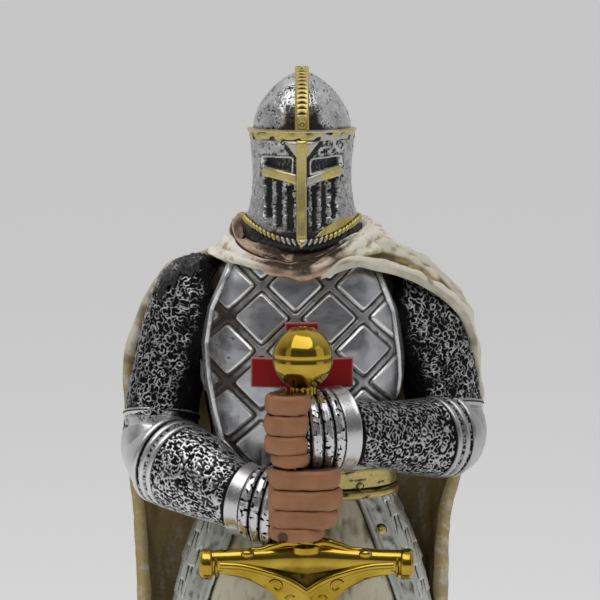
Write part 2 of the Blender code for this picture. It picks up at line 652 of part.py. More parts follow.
def cape():
    """Cloak behind the arms, from the shoulders to the ankles, thicker towards its folded hem."""
    v = np.concatenate([np.linspace(0, 0.09, 6), CAPE_ROWS])[:, None]
    u = np.linspace(-1, 1, 25)[None]
    outer = cape_point(u, v)
    plain = cape_point(u, v, folded=0.0)
    normal = np.cross(np.gradient(plain, axis=1), np.gradient(plain, axis=0))
    normal /= np.linalg.norm(normal, axis=-1)[..., None]
    outward = (normal * plain * np.array([1.0, 1.0, 0.0])).sum(-1, keepdims=True) > 0
    inner = plain - np.where(outward, normal, -normal) * (CAPE_THICK + CAPE_HEM_THICK * v[..., None])
    inner[..., 2] = np.maximum(inner[..., 2], CAPE_HEM_Z)
    return slab(outer, inner)


def cape_lining():
    """Solid mass of the cloak behind the legs, which the casting doesn't leave open."""
    rings = []
    for z in (CAPE_HEM_Z + 0.6, 60, SKIRT_HEM_Z + 6):
        v = (CAPE_TOP_Z - z) / (CAPE_TOP_Z - CAPE_HEM_Z)
        back = cape_point(np.linspace(-0.9, 0.9, 13), v, folded=0.0)
        rings.append(back * (LINING_SHARE, 1, 1) - (0, LINING_INSET, 0))
    return loft(np.array(rings))


# Arms
def arms():
    """Mail sleeves, forearms, elbows and the padded flap on one shoulder."""
    shells = [sweep(path, 8, 12, (0, 1, 0)) for path in UPPER_ARMS]
    shells += [sweep(path, 7, 12, (0, 0, 1)) for path in LOWER_ARMS]
    for n in (0, 1):
        shells += elbow(n)
    shells.append(shoulder_flap())
    return shells


def elbow(n):
    """Cap, rolled rim and the three ridges of one elbow."""
    centre, halves = ELBOW_CAPS[n]
    shells = [ellipsoid(centre, halves)]
    centre, axis = ELBOW_RIMS[n]
    shells.append(turned(RIM_PROFILE, centre, axis, 12))
    centre, axis, radius = ELBOW_RIDGES[n]
    axis = np.asarray(axis) / np.linalg.norm(axis)
    for k in (-1, 0, 1):
        size = radius - 0.25 * k
        profile = [(along, size + grow) for along, grow in RIDGE_PROFILE]
        shells.append(turned(profile, np.asarray(centre) + axis * RIDGE_PITCH * k, axis, 12))
    return shells


def shoulder_flap():
    """Small stiff flap with a wavy edge on the shoulder at the viewer's left."""
    x = np.linspace(*FLAP_X, 8)[None]
    t = np.linspace(0, 1, 3)[:, None]
    y = FLAP_Y[0] + FLAP_Y[1] * t + 0 * x
    z = FLAP_Z - FLAP_DROOP * (x + 30) ** 2 - FLAP_SLOPE * (1 - t)
    z = z + FLAP_WAVE * np.sin(1.25 * x + 0.5) * (1 - 0.7 * t)
    top = np.stack([x + 0 * t, y, z], axis=-1)
    return slab(top, top - np.array([0, 0, FLAP_THICK]))


# Cuffs and fists
def bent(profile, path, sides):
    """Skin a profile of distance along and radius, set square to a gently curved path."""
    path = np.asarray(path, float)
    run = np.concatenate([[0.0], np.cumsum(np.linalg.norm(np.diff(path, axis=0), axis=1))])
    along, radius = np.asarray(profile, float).T
    centre = smooth(run, path, along)
    ahead = smooth(run, path, along + 0.4) - smooth(run, path, along - 0.4)
    ahead /= np.linalg.norm(ahead, axis=1)[:, None]
    u = np.cross((0.0, 0.0, 1.0), ahead)
    u /= np.linalg.norm(u, axis=1)[:, None]
    v = np.cross(ahead, u)
    angle = around(sides)[None, :, None]
    spoke = u[:, None] * np.cos(angle) + v[:, None] * np.sin(angle)
    return loft(centre[:, None] + radius[:, None, None] * spoke)


def cuffs():
    """Flanged gauntlet cuffs with three raised bands each and a narrow end at the hand."""
    shells = []
    for path, flange, first, last in CUFFS:
        profile = [(0.0, 7.5), (0.3, first + 0.6), (flange, first - 0.2)]
        for n in range(3):
            at = flange + CUFF_BAND * n
            wide = first + (last - first) * (n + 1) / 3
            profile += [(at + 0.2, wide + 0.4), (at + 1.7, wide + 0.4), (at + 1.9, wide - 0.8)]
        end = flange + 3 * CUFF_BAND
        profile += [(end + 0.1, last - 0.2), (end + CUFF_TIP - 0.4, last - 0.4), (end + CUFF_TIP, 7.0)]
        shells.append(bent(profile, path, 14))
    return shells


def fist(centre, side, bend, reaches):
    """Closed hand: a palm and four stacked fingers bent round the grip."""
    cx, cy, cz = centre
    stations = [(cx + side * x, cy + y, cz, across, tall) for x, y, across, tall in PALM]
    shells = [sweep(stations, 4, 10, (0, 0, 1), 2.6)]
    for drop, half, reach in zip(FINGER_Z, FINGER_HALF, reaches):
        path = []
        for x, y in bend:
            moved = x - reach if x < -2 else x
            path.append((cx + side * moved, cy + y, cz + drop, FINGER_THICK, half))
        shells.append(sweep(path, 6, 6, (0, 0, 1), 2.7))
    return shells


def hands():
    """Both fists, and the thumb that runs down the lower one."""
    shells = [sweep(THUMB, 4, 6, (0, 1, 0), 2.3)]
    for centre, side, bend, reaches in FISTS:
        shells += fist(centre, side, bend, reaches)
    return shells


# Legs
def legs():
    """Armoured legs below the skirt: thigh, knee cap, greave and plated shoe on each side."""
    shells = []
    (knee_y, knee_z), knee_half = KNEE
    for side in (-1, 1):
        x = LEG_X * side
        shells.append(sweep([(x, *station) for station in LEG], 9, 12, (0, 1, 0)))
        shells.append(ellipsoid((x, knee_y, knee_z), knee_half, 12, 6))
        shells.append(turned(KNEE_RIM, (x, LEG[2][0], KNEE_RIM_Z), (0, 0, 1), 12))
        shells.append(shoe(x, side))
    return shells


def shoe(x, side):
    """Pointed plated shoe, flat below, turned outward."""
    turn = SHOE_TURN * side
    angle = np.linspace(0, math.pi, 8)
    rings = []
    for along, half, tall in SHOE:
        local_x, local_y = half * np.cos(angle), -along + 0 * angle
        z = GROUND + tall * np.sin(angle) ** 0.8
        world_x = x + local_x * math.cos(turn) - local_y * math.sin(turn)
        world_y = local_x * math.sin(turn) + local_y * math.cos(turn)
        rings.append(np.stack([world_x, world_y, z], axis=-1))
    return loft(np.array(rings), flat_ends=True)


# Sword
def sword_centre(z):
    """Axis of the sword at a height: it leans slightly to the viewer's right as it goes down."""
    return 0.3 + SWORD_LEAN * (z - 216.0), SWORD_Y


def sword_clearance():
    """Cutters that leave room all round for the grip, the cross bar and the pommel."""
    top, foot = sword_centre(GRIP_TOP_Z), sword_centre(GRIP_FOOT_Z)
    tall = GRIP_TOP_Z - GRIP_FOOT_Z
    profile = ((0, GRIP_RADIUS + CLEARANCE), (tall, GRIP_RADIUS + CLEARANCE))
    axis = (top[0] - foot[0], 0, tall)
    bore = turned(profile, (foot[0], SWORD_Y, GRIP_FOOT_Z), axis, 16)
    return [bore, guard_bar(CLEARANCE), pommel(CLEARANCE)]


def pommel(grow=0.0):
    """Ball on top of the grip."""
    radius = POMMEL_RADIUS + grow
    return ellipsoid((sword_centre(POMMEL_Z)[0], SWORD_Y, POMMEL_Z), (radius,) * 3, 14, 8)


def sword_hilt():
    """Pommel, grip and the collar at its foot."""
    foot = (sword_centre(COLLAR_Z)[0], SWORD_Y, COLLAR_Z)
    axis = (SWORD_LEAN, 0, 1)
    grip = turned(((0, GRIP_RADIUS), (50, GRIP_RADIUS)), foot, axis, 12)
    collar_ring = turned(((-0.8, 3.9), (-0.4, 4.6), (1.4, 4.6), (1.9, 3.9)), foot, axis, 16)
    return [pommel(), grip, collar_ring]


def guard_bar(grow=0.0):
    """Eight-sided cross bar, fuller in the middle."""
    cx = sword_centre(GUARD_Z)[0]
    bar = []
    for x, z, tall, deep in GUARD_BAR:
        ring = [
            (cx + x, SWORD_Y + (deep + grow) * c, GUARD_Z + z + (tall + grow) * s) for c, s in octagon()
        ]
        bar.append(ring)
    return loft(np.array(bar))


def sword_guard():
    """Cross bar with turned ends, and the langet that tapers down the blade."""
    cx = sword_centre(GUARD_Z)[0]
    shells = [guard_bar()]
    for side in (-1, 1):
        start = (cx + side * (GUARD_HALF - 4.2), SWORD_Y, GUARD_Z + 0.4)
        shells.append(turned(GUARD_KNOB, start, (side, 0, 0), 8, math.pi / 8))
    rings = []
    for z, half, deep in LANGET:
        outline = ((-1, -0.4), (-0.6, -1), (0.6, -1), (1, -0.4), (1, 0.4), (0.6, 1), (-0.6, 1), (-1, 0.4))
        rings.append([(cx + half * x, SWORD_Y + deep * y, z) for x, y in outline])
    shells.append(loft(np.array(rings, float)))
    return shells


def octagon():
    """Corners of an upright octagon of unit half-width across its flats."""
    reach = 1 / math.cos(math.pi / 8)
    return [(reach * math.cos(a), reach * math.sin(a)) for a in around(8) + math.pi / 8]


def sword_blade():
    """Six-sided blade from the guard down to its point on the plinth."""
    rings = []
    for z, half, thick in BLADE:
        cx = sword_centre(z)[0]
        outline = ((-half, 0), (-half * 0.5, -thick), (half * 0.5, -thick))
        outline += ((half, 0), (half * 0.5, thick), (-half * 0.5, thick))
        rings.append([(cx + x, SWORD_Y + y, z) for x, y in outline])
    return loft(np.array(rings, float))


# Plinth
def plinth():
    """Low base with a moulded edge: a foot, a hollow and an upper slab."""
    c, s = rounded(around(36), PLINTH_POWER)
    rings = []
    for z, inset in PLINTH_EDGE:
        x = (PLINTH_HALF[0] - inset) * c
        y = PLINTH_CENTRE_Y + (PLINTH_HALF[1] - inset) * s
        rings.append(np.stack([x, y, z + 0 * c], axis=-1))
    return loft(np.array(rings), flat_ends=True)


# Objects
def add_solid(name, shell):
    """Make one triangulated, outward-facing mesh object from points and faces in millimetres."""
    points, faces = shell
    mesh = bpy.data.meshes.new(name)
    metres = [(p[0] * MM, (p[1] + AXIS_Y) * MM, p[2] * MM) for p in points]
    mesh.from_pydata(metres, [], [tuple(int(n) for n in face) for face in faces])
    work = bmesh.new()
    work.from_mesh(mesh)
    bmesh.ops.triangulate(work, faces=work.faces)
    if work.calc_volume(signed=True) < 0:
        bmesh.ops.reverse_faces(work, faces=work.faces)
    work.to_mesh(mesh)
    work.free()
    solid = bpy.data.objects.new(name, mesh)
    bpy.context.scene.collection.objects.link(solid)
    return solid


def helpers(name, shells):
    """Put shells into a collection of hidden operands for a Boolean."""
    group = bpy.data.collections.new(name)
    bpy.context.scene.collection.children.link(group)
    for n, shell in enumerate(shells):
        operand = add_solid(f"{name}_{n:02d}", shell)
        bpy.context.scene.collection.objects.unlink(operand)
        group.objects.link(operand)
        operand.hide_render = True
        operand.display_type = "WIRE"
    return group


def combine(solid, group, operation):
    """Join a collection of closed operands to a solid, or cut it with them."""
    boolean = solid.modifiers.new(group.name, "BOOLEAN")
    boolean.operation = operation
    boolean.solver = "EXACT"
    boolean.operand_type = "COLLECTION"
    boolean.collection = group


def settle(solid):
    """Fix the union so far as plain mesh, without the pockets closed in between touching forms."""
    graph = bpy.context.evaluated_depsgraph_get()
    mesh = bpy.data.meshes.new_from_object(solid.evaluated_get(graph))
    solid.modifiers.clear()
    work = bmesh.new()
    work.from_mesh(mesh)
    bmesh.ops.triangulate(work, faces=work.faces)
    left = set(work.faces)
    bodies = []
    while left:
        reach = [left.pop()]
        for face in reach:
            linked = {other for edge in face.edges for other in edge.link_faces} & left
            left -= linked
            reach.extend(linked)
        bodies.append(reach)
    bodies.sort(key=len)
    pockets = [face for body in bodies[:-1] for face in body]
    bmesh.ops.delete(work, geom=pockets, context="FACES")
    work.to_mesh(mesh)
    work.free()
    solid.data = mesh


def lighten(solid, share):
    """Merge the smallest triangles until a share of them is left."""
    fewer = solid.modifiers.new("fewer", "DECIMATE")
    fewer.ratio = share
    fewer.use_collapse_triangulate = True


def paint(solid, name, colour, roughness, metallic):
    """Give a solid its own plain material."""
    material = bpy.data.materials.new(name)
    material.use_nodes = True
    shader = material.node_tree.nodes["Principled BSDF"]
    shader.inputs["Base Color"].default_value = (*colour, 1.0)
    shader.inputs["Roughness"].default_value = roughness
    shader.inputs["Metallic"].default_value = metallic
    solid.data.materials.append(material)


def build_knight():
    """The whole figure as one casting."""
    knight = add_solid("knight", torso())
    shells = [helm_shell(), cape(), cape_lining()]
    shells += gorget() + collar() + quilting() + breastplate_cross() + skirt_bands()
    shells += arms() + cuffs() + hands() + legs() + helm_trims()
    combine(knight, helpers("knight_forms", shells), "UNION")
    settle(knight)
    lighten(knight, KNIGHT_SHARE)
    combine(knight, helpers("knight_recesses", sword_clearance() + helm_openings()), "DIFFERENCE")
    settle(knight)
    paint(knight, "painted resin, silver", (0.42, 0.42, 0.43), 0.38, 0.8)


def build_sword():
    """The gold sword as one piece."""
    sword = add_solid("sword", sword_blade())
    combine(sword, helpers("sword_forms", sword_hilt() + sword_guard()), "UNION")
    paint(sword, "gold plating", (0.83, 0.58, 0.14), 0.16, 1.0)


def build_plinth():
    """The low base."""
    base = add_solid("plinth", plinth())
    paint(base, "painted resin, stone", (0.12, 0.11, 0.10), 0.7, 0.0)


def clear_scene():
    """Remove whatever the scene holds."""
    for item in list(bpy.data.objects):
        bpy.data.objects.remove(item, do_unlink=True)


clear_scene()
build_knight()
build_sword()
build_plinth()
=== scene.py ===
"""Looks of the medieval knight statue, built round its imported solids.

Lengths are millimetres in the figure's own frame: x to the viewer's right, y away from the viewer,
z up from the table, the torso's axis at y = 0. Part.build() turns them into metres.
"Right" and "left" in the names are the viewer's.
"""

import math

import bmesh
import bpy
import numpy as np
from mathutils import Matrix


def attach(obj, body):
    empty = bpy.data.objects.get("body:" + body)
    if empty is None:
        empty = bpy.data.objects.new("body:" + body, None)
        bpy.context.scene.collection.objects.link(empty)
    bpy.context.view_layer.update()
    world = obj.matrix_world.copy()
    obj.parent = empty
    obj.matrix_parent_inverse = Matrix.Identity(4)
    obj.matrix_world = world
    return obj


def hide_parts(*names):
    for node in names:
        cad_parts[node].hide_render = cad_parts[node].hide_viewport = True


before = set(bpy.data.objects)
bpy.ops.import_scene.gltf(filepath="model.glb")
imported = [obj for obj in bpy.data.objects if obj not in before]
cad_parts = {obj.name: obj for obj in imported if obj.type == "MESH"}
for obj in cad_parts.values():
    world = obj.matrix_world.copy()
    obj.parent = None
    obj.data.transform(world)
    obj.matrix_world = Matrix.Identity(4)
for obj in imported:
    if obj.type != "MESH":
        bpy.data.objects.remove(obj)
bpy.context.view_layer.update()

MM = 0.001
AXIS_Y = 6.0
GAP = 0.3

# Plinth and ground
PLINTH_HEIGHT = 14.0
PLINTH_HALF = (56.0, 46.0)
PLINTH_CENTRE_Y = -AXIS_Y
PLINTH_POWER = 3.2
GROUND = PLINTH_HEIGHT + GAP

# Helm
HELM_Y = -3.0
HELM_DEPTH = 1.15
HELM_RIM_Z = 256.8
HELM_RIM_DIP = 5.7
HELM_BROW_Z = 282.3
HELM_TOP_Z = 299.0
DOME_HALF = (14.1, 16.2)
HELM_WALL_Z = (249.5, 256.8, 260.0, 265.0, 271.0, 278.0, 282.3)
HELM_WALL_HALF = (17.0, 16.1, 15.2, 14.4, 14.3, 14.9, 15.2)
EYE_SLOTS = (
    ((-11.1, 274.6), (-2.8, 274.6), (-3.1, 270.3), (-11.1, 272.0)),
    ((2.6, 274.1), (10.8, 274.9), (11.1, 272.3), (2.6, 270.3)),
)
# Breathing slits: x of both sides, top and foot
SLITS = (
    (-10.5, -8.8, 268.7, 257.7),
    (-7.4, -6.0, 268.9, 255.3),
    (-4.2, -2.8, 266.7, 254.3),
    (3.1, 4.5, 266.7, 254.2),
    (5.7, 7.7, 268.9, 255.2),
    (8.5, 9.7, 268.8, 257.6),
)

# Torso, belt and skirt: half-width, front and back depth by height
TORSO_Z = (91, 105, 120, 135, 150, 158, 167, 176, 188, 195, 204, 212, 221, 232, 240, 247, 253)
TORSO_HALF = (42.5, 41.5, 40, 38.2, 36, 34, 30.8, 27, 26.2, 26.6, 28.2, 29.2, 29.2, 28.4, 27, 20, 14.5)
TORSO_FRONT = (31, 30, 29, 28.2, 27, 25, 22.8, 20.5, 20.5, 21.8, 23.6, 24.2, 23.6, 21.5, 20, 17, 14)
TORSO_BACK = (28, 28, 28, 28, 28, 27.5, 27, 26, 25.5, 25.5, 25.5, 25.5, 25, 23.5, 21, 17, 14)
TORSO_POWER = 2.3
BELT_TOP_Z = 185.3
BELT_GROOVE_Z = 179.6
BELT_FOOT_Z = 177.2
SKIRT_HEM_Z = 91.0
PAD_FIRST = (-1.85, 229.2)
PAD_PITCH = (19.1, 18.3)
PAD_SHARE = 0.83
PAD_CELL = 13.2

# Cape by height
CAPE_TOP_Z = 252.0
CAPE_HEM_Z = 15.6
CAPE_THICK = 2.8
CAPE_Z = (15, 60, 110, 145, 170, 190, 205, 215, 226, 232, 236, 240, 243.5, 247, 250, 252)
CAPE_RIGHT = (43.5, 43.5, 43.1, 42.8, 44, 48.8, 52, 51.5, 50, 48.2, 45.3, 41.3, 38, 33, 26, 23)
CAPE_LEFT = (48.5, 48.5, 48.1, 48.8, 50, 51.8, 53, 52.5, 48.9, 46.4, 44.2, 41.3, 37.5, 27, 22.5, 21)
CAPE_BACK = (34, 33, 31.5, 30.5, 29.5, 28.5, 28, 27.5, 26, 24.5, 23.4, 22.2, 21, 19, 17, 15.5)
CAPE_EDGE_RIGHT = (3, 3, 3, 3, 3, 3, 3, 2, 1, -1, -3, -5, -7, -8, -9, -9)
CAPE_EDGE_LEFT = (4, 4, 5, 7, 8, 9, 9, 9, 9, 8, 7.5, 6, 5, 3, 1, 0)

# Sword
SWORD_Y = -37.0
SWORD_LEAN = -0.0175
GRIP_RADIUS = 3.2
POMMEL_Z = 220.0
POMMEL_RADIUS = 8.7
POMMEL_FACET = 0.24
GUARD_Z = 161.3
GUARD_HALF = 30.0

# Hands and cuffs
UPPER_FIST = (-0.8, -38.0, 200.6)
LOWER_FIST = (1.6, -38.0, 179.8)


# Curves and grids
def smooth(stations, values, at):
    """Read a curve that runs smoothly through values given at rising stations."""
    stations = np.asarray(stations, float)
    values = np.asarray(values, float)
    at = np.clip(np.asarray(at, float), stations[0], stations[-1])
    slopes = np.gradient(values, stations, axis=0)
    i = np.clip(np.searchsorted(stations, at, side="right") - 1, 0, len(stations) - 2)
    width = stations[i + 1] - stations[i]
    t = (at - stations[i]) / width
    if values.ndim > 1:
        t, width = t[..., None], width[..., None]
    start = (2 * t**3 - 3 * t**2 + 1) * values[i] + (t**3 - 2 * t**2 + t) * width * slopes[i]
    return start + (3 * t**2 - 2 * t**3) * values[i + 1] + (t**3 - t**2) * width * slopes[i + 1]


def through(points, step):
    """Points at about one step along a smooth curve through a few chosen ones."""
    points = np.asarray(points, float)
    lengths = np.linalg.norm(np.diff(points[:, :3], axis=0), axis=1)
    along = np.concatenate([[0.0], np.cumsum(lengths)])
    count = max(3, int(along[-1] / step) + 1)
    return smooth(along, points, np.linspace(0.0, along[-1], count))


def lines(stops, steps):
    """Grid lines from stop to stop, each stretch with its own spacing."""
    parts = []
    for start, end, step in zip(stops[:-1], stops[1:], steps):
        count = max(1, round(abs(end - start) / step))
        parts.append(np.linspace(start, end, count + 1)[:-1])
    return np.concatenate(parts + [[stops[-1]]])


def around(count):
    """Equal steps round a full turn."""
    return np.arange(count) * 2 * math.pi / count


def rounded(angle, power):
    """Unit superellipse: cosine and sine flattened by a power, 2 being a circle."""
    c, s = np.cos(angle), np.sin(angle)
    return np.sign(c) * np.abs(c) ** (2 / power), np.sign(s) * np.abs(s) ** (2 / power)


def rise(value, low, high):
    """Smooth step from 0 at low to 1 at high."""
    t = np.clip((np.asarray(value, float) - low) / (high - low), 0, 1)
    return t * t * (3 - 2 * t)


def waves(points, wave, seed, stretch=(1, 1, 1), count=40):
    """Blobby noise of about one wavelength through space, of mean 0 and deviation 1."""
    draw = np.random.default_rng(seed)
    ways = draw.normal(size=(count, 3))
    ways /= np.linalg.norm(ways, axis=1)[:, None]
    ways *= 2 * math.pi / (wave * draw.uniform(0.75, 1.25, (count, 1)))
    ways /= np.asarray(stretch, float)
    phases = draw.uniform(0, 2 * math.pi, count)
    flat = points.reshape(-1, 3)
    total = np.zeros(len(flat))
    for way, phase in zip(ways, phases):
        total += np.cos(flat @ way + phase)
    return (total * math.sqrt(2 / count)).reshape(points.shape[:-1])


def normals(grid, wrap, core=None):
    """Unit normals of a grid of points, turned away from a core."""
    down = np.gradient(grid, axis=0)
    if wrap:
        across = np.roll(grid, -1, axis=1) - np.roll(grid, 1, axis=1)
    else:
        across = np.gradient(grid, axis=1)
    normal = np.cross(across, down)
    normal /= np.maximum(np.linalg.norm(normal, axis=-1, keepdims=True), 1e-9)
    if core is None:
        core = grid.mean(axis=1, keepdims=True)
    facing = (normal * (grid - core)).sum()
    return normal if facing > 0 else -normal


def lifted(grid, height, wrap=False, core=None):
    """Grid moved out along its normals by a height that may change from point to point."""
    height = np.broadcast_to(np.asarray(height, float), grid.shape[:-1])
    return grid + normals(grid, wrap, core) * height[..., None]


def sweep(stations, step, sides, reference, power=2.0):
    """Tube through stations of x, y, z, half-width across and half-width along the reference."""
    path = through(stations, step)
    centres, halves = path[:, :3], path[:, 3:5]
    tangents = np.gradient(centres, axis=0)
    tangents /= np.linalg.norm(tangents, axis=1)[:, None]
    across = np.cross(tangents, np.asarray(reference, float))
    across /= np.linalg.norm(across, axis=1)[:, None]
    along = np.cross(across, tangents)
    c, s = rounded(around(sides), power)
    return (
        centres[:, None]
        + across[:, None] * (halves[:, :1] * c)[..., None]
        + along[:, None] * (halves[:, 1:] * s)[..., None]
    )


def turned(profile, centre, axis, sides, step=0.4, phase=0.0):
    """Rings of a profile of distance along and radius, revolved about an axis through a centre."""
    axis = np.asarray(axis, float) / np.linalg.norm(axis)
    helper = np.array([0.0, 0.0, 1.0]) if abs(axis[2]) < 0.9 else np.array([0.0, 1.0, 0.0])
    u = np.cross(helper, axis)
    u /= np.linalg.norm(u)
    v = np.cross(axis, u)
    angle = phase + around(sides)
    spoke = np.cos(angle)[:, None] * u + np.sin(angle)[:, None] * v
    rings = []
    for (a, r), (b, q) in zip(profile[:-1], profile[1:]):
        count = max(1, round(math.hypot(b - a, q - r) / step))
        for t in np.arange(count) / count:
            rings.append(np.asarray(centre) + (a + (b - a) * t) * axis + (r + (q - r) * t) * spoke)
    rings.append(np.asarray(centre) + profile[-1][0] * axis + profile[-1][1] * spoke)
    return np.array(rings)


def bent(profile, path, sides, step):
    """Rings of a profile of distance along and radius, set square to a gently curved path."""
    path = np.asarray(path, float)
    run = np.concatenate([[0.0], np.cumsum(np.linalg.norm(np.diff(path, axis=0), axis=1))])
    profile = np.asarray(profile, float)
    spots = [profile[:1]]
    for first, last in zip(profile[:-1], profile[1:]):
        count = max(1, round(np.linalg.norm(last - first) / step))
        spots.append(first + (last - first) * np.linspace(0, 1, count + 1)[1:, None])
    along, radius = np.concatenate(spots).T
    centre = smooth(run, path, along)
    ahead = smooth(run, path, along + 0.4) - smooth(run, path, along - 0.4)
    ahead /= np.linalg.norm(ahead, axis=1)[:, None]
    u = np.cross((0.0, 0.0, 1.0), ahead)
    u /= np.linalg.norm(u, axis=1)[:, None]
    v = np.cross(ahead, u)
    angle = around(sides)[None, :, None]
    spoke = u[:, None] * np.cos(angle) + v[:, None] * np.sin(angle)
    rings = centre[:, None] + radius[:, None, None] * spoke
    return rings, along, radius


def ball(centre, halves, sides, rows):
    """Rings of a closed ball with its poles up and down."""
    tilt = np.linspace(-0.5, 0.5, rows + 1)[:, None] * math.pi * 0.985
    turn = around(sides)[None]
    x = centre[0] + halves[0] * np.cos(tilt) * np.cos(turn)
    y = centre[1] + halves[1] * np.cos(tilt) * np.sin(turn)
    z = centre[2] + halves[2] * np.sin(tilt) + 0 * turn
    return np.stack([x, y, z], axis=-1)


def quad_distance(x, z, corners, soft=0.35):
    """Distance outside a four-cornered outline, negative inside, with corners rounded off."""
    corners = np.asarray(corners, float)
    middle = corners.mean(axis=0)
    total = np.zeros(np.broadcast(x, z).shape)
    for start, end in zip(corners, np.roll(corners, -1, axis=0)):
        edge = (end - start) / np.linalg.norm(end - start)
        out = np.array([edge[1], -edge[0]])
        if np.dot(out, middle - start) > 0:
            out = -out
        total += np.exp(((x - start[0]) * out[0] + (z - start[1]) * out[1]) / soft)
    return soft * np.log(total)


def line_distance(x, z, points):
    """Distance from an open run of x, z points."""
    best = np.full(np.broadcast(x, z).shape, 1e9)
    for (ax, az), (bx, bz) in zip(points[:-1], points[1:]):
        dx, dz = bx - ax, bz - az
        t = np.clip(((x - ax) * dx + (z - az) * dz) / (dx * dx + dz * dz), 0, 1)
        best = np.minimum(best, np.hypot(x - ax - t * dx, z - az - t * dz))
    return best


# Pieces
class Part:
    """Grids of points gathered into one mesh. Each point has a relief, from 0 in the hollows to 1
    on top, and a tone, which each material reads in its own way."""

    def __init__(self):
        self.points = []
        self.faces = []
        self.relief = []
        self.tone = []
        self.count = 0

    def add(self, grid, wrap=False, close=False, ends=(False, False), inside=None, relief=1.0, tone=0.0):
        """Add a grid; wrap joins its last column to the first, close its last row to the first."""
        rows, cols = grid.shape[:2]
        index = np.arange(rows * cols).reshape(rows, cols)
        if wrap:
            index = np.concatenate([index, index[:, :1]], axis=1)
        if close:
            index = np.concatenate([index, index[:1]], axis=0)
        quads = np.stack([index[:-1, :-1], index[:-1, 1:], index[1:, 1:], index[1:, :-1]], axis=-1)
        quads = quads.reshape(-1, 4)
        flat = grid.reshape(-1, 3)
        corners = flat[quads]
        normal = np.cross(corners[:, 2] - corners[:, 0], corners[:, 3] - corners[:, 1])
        inside = flat.mean(axis=0) if inside is None else np.asarray(inside, float)
        outward = (normal * (corners.mean(axis=1) - inside)).sum() > 0
        relief = np.broadcast_to(np.asarray(relief, float), (rows, cols)).ravel()
        tone = np.broadcast_to(np.asarray(tone, float), (rows, cols)).ravel()
        faces = quads.tolist()
        extra = []
        for ring, wanted in ((index[0], ends[0]), (index[-1][::-1], ends[1])):
            if not wanted:
                continue
            hub = rows * cols + len(extra)
            extra.append(flat[ring[:-1]].mean(axis=0))
            faces += [(int(b), int(a), hub) for a, b in zip(ring[:-1], ring[1:])]
        if not outward:
            faces = [tuple(reversed(face)) for face in faces]
        self.faces += [tuple(n + self.count for n in face) for face in faces]
        self.points.append(flat)
        self.relief.append(relief)
        self.tone.append(tone)
        if extra:
            self.points.append(np.array(extra))
            self.relief.append(np.full(len(extra), relief.mean()))
            self.tone.append(np.full(len(extra), tone.mean()))
        self.count += rows * cols + len(extra)

    def plate(self, top, foot, relief=1.0, tone=0.0, side_relief=0.6):
        """Add a raised plate: its top, and walls down to a foot grid of the same size."""
        middle = (top.mean(axis=(0, 1)) + foot.mean(axis=(0, 1))) / 2
        self.add(top, inside=middle, relief=relief, tone=tone)
        wall = np.stack([border(top), border(foot)])
        edge_tone = np.broadcast_to(np.asarray(tone, float), top.shape[:2])
        edge_tone = border(edge_tone[..., None])[:, 0]
        self.add(wall, wrap=True, ends=(False, True), inside=middle, relief=side_relief, tone=edge_tone)

    def build(self, name, look, sharp=None):
        """Make the mesh object, in metres."""
        points = (np.concatenate(self.points) + (0.0, AXIS_Y, 0.0)) * MM
        mesh = bpy.data.meshes.new(name)
        mesh.from_pydata(points.tolist(), [], self.faces)
        for key, values in (("relief", self.relief), ("tone", self.tone)):
            layer = mesh.attributes.new(key, "FLOAT", "POINT")
            layer.data.foreach_set("value", np.concatenate(values).astype(np.float32))
        work = bmesh.new()
        work.from_mesh(mesh)
        bmesh.ops.remove_doubles(work, verts=work.verts, dist=1e-6)
        work.to_mesh(mesh)
        work.free()
        mesh.polygons.foreach_set("use_smooth", np.ones(len(mesh.polygons), bool))
        if sharp:
            mesh.set_sharp_from_angle(angle=math.radians(sharp))
        mesh.materials.append(look)
        piece = bpy.data.objects.new(name, mesh)
        bpy.context.scene.collection.objects.link(piece)
        return piece


def border(grid):
    """Points round the edge of a grid, in order."""
    return np.concatenate([grid[0, :-1], grid[:-1, -1], grid[-1, :0:-1], grid[:0:-1, 0]])


def show(part, name, look, node, sharp=None):
    """Build a piece, hang it on the root body, hide the imported part it stands for, and give it its finish.
    """
    piece = part.build(name, look, sharp)
    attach(piece, "root")
    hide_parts(node)
    return piece


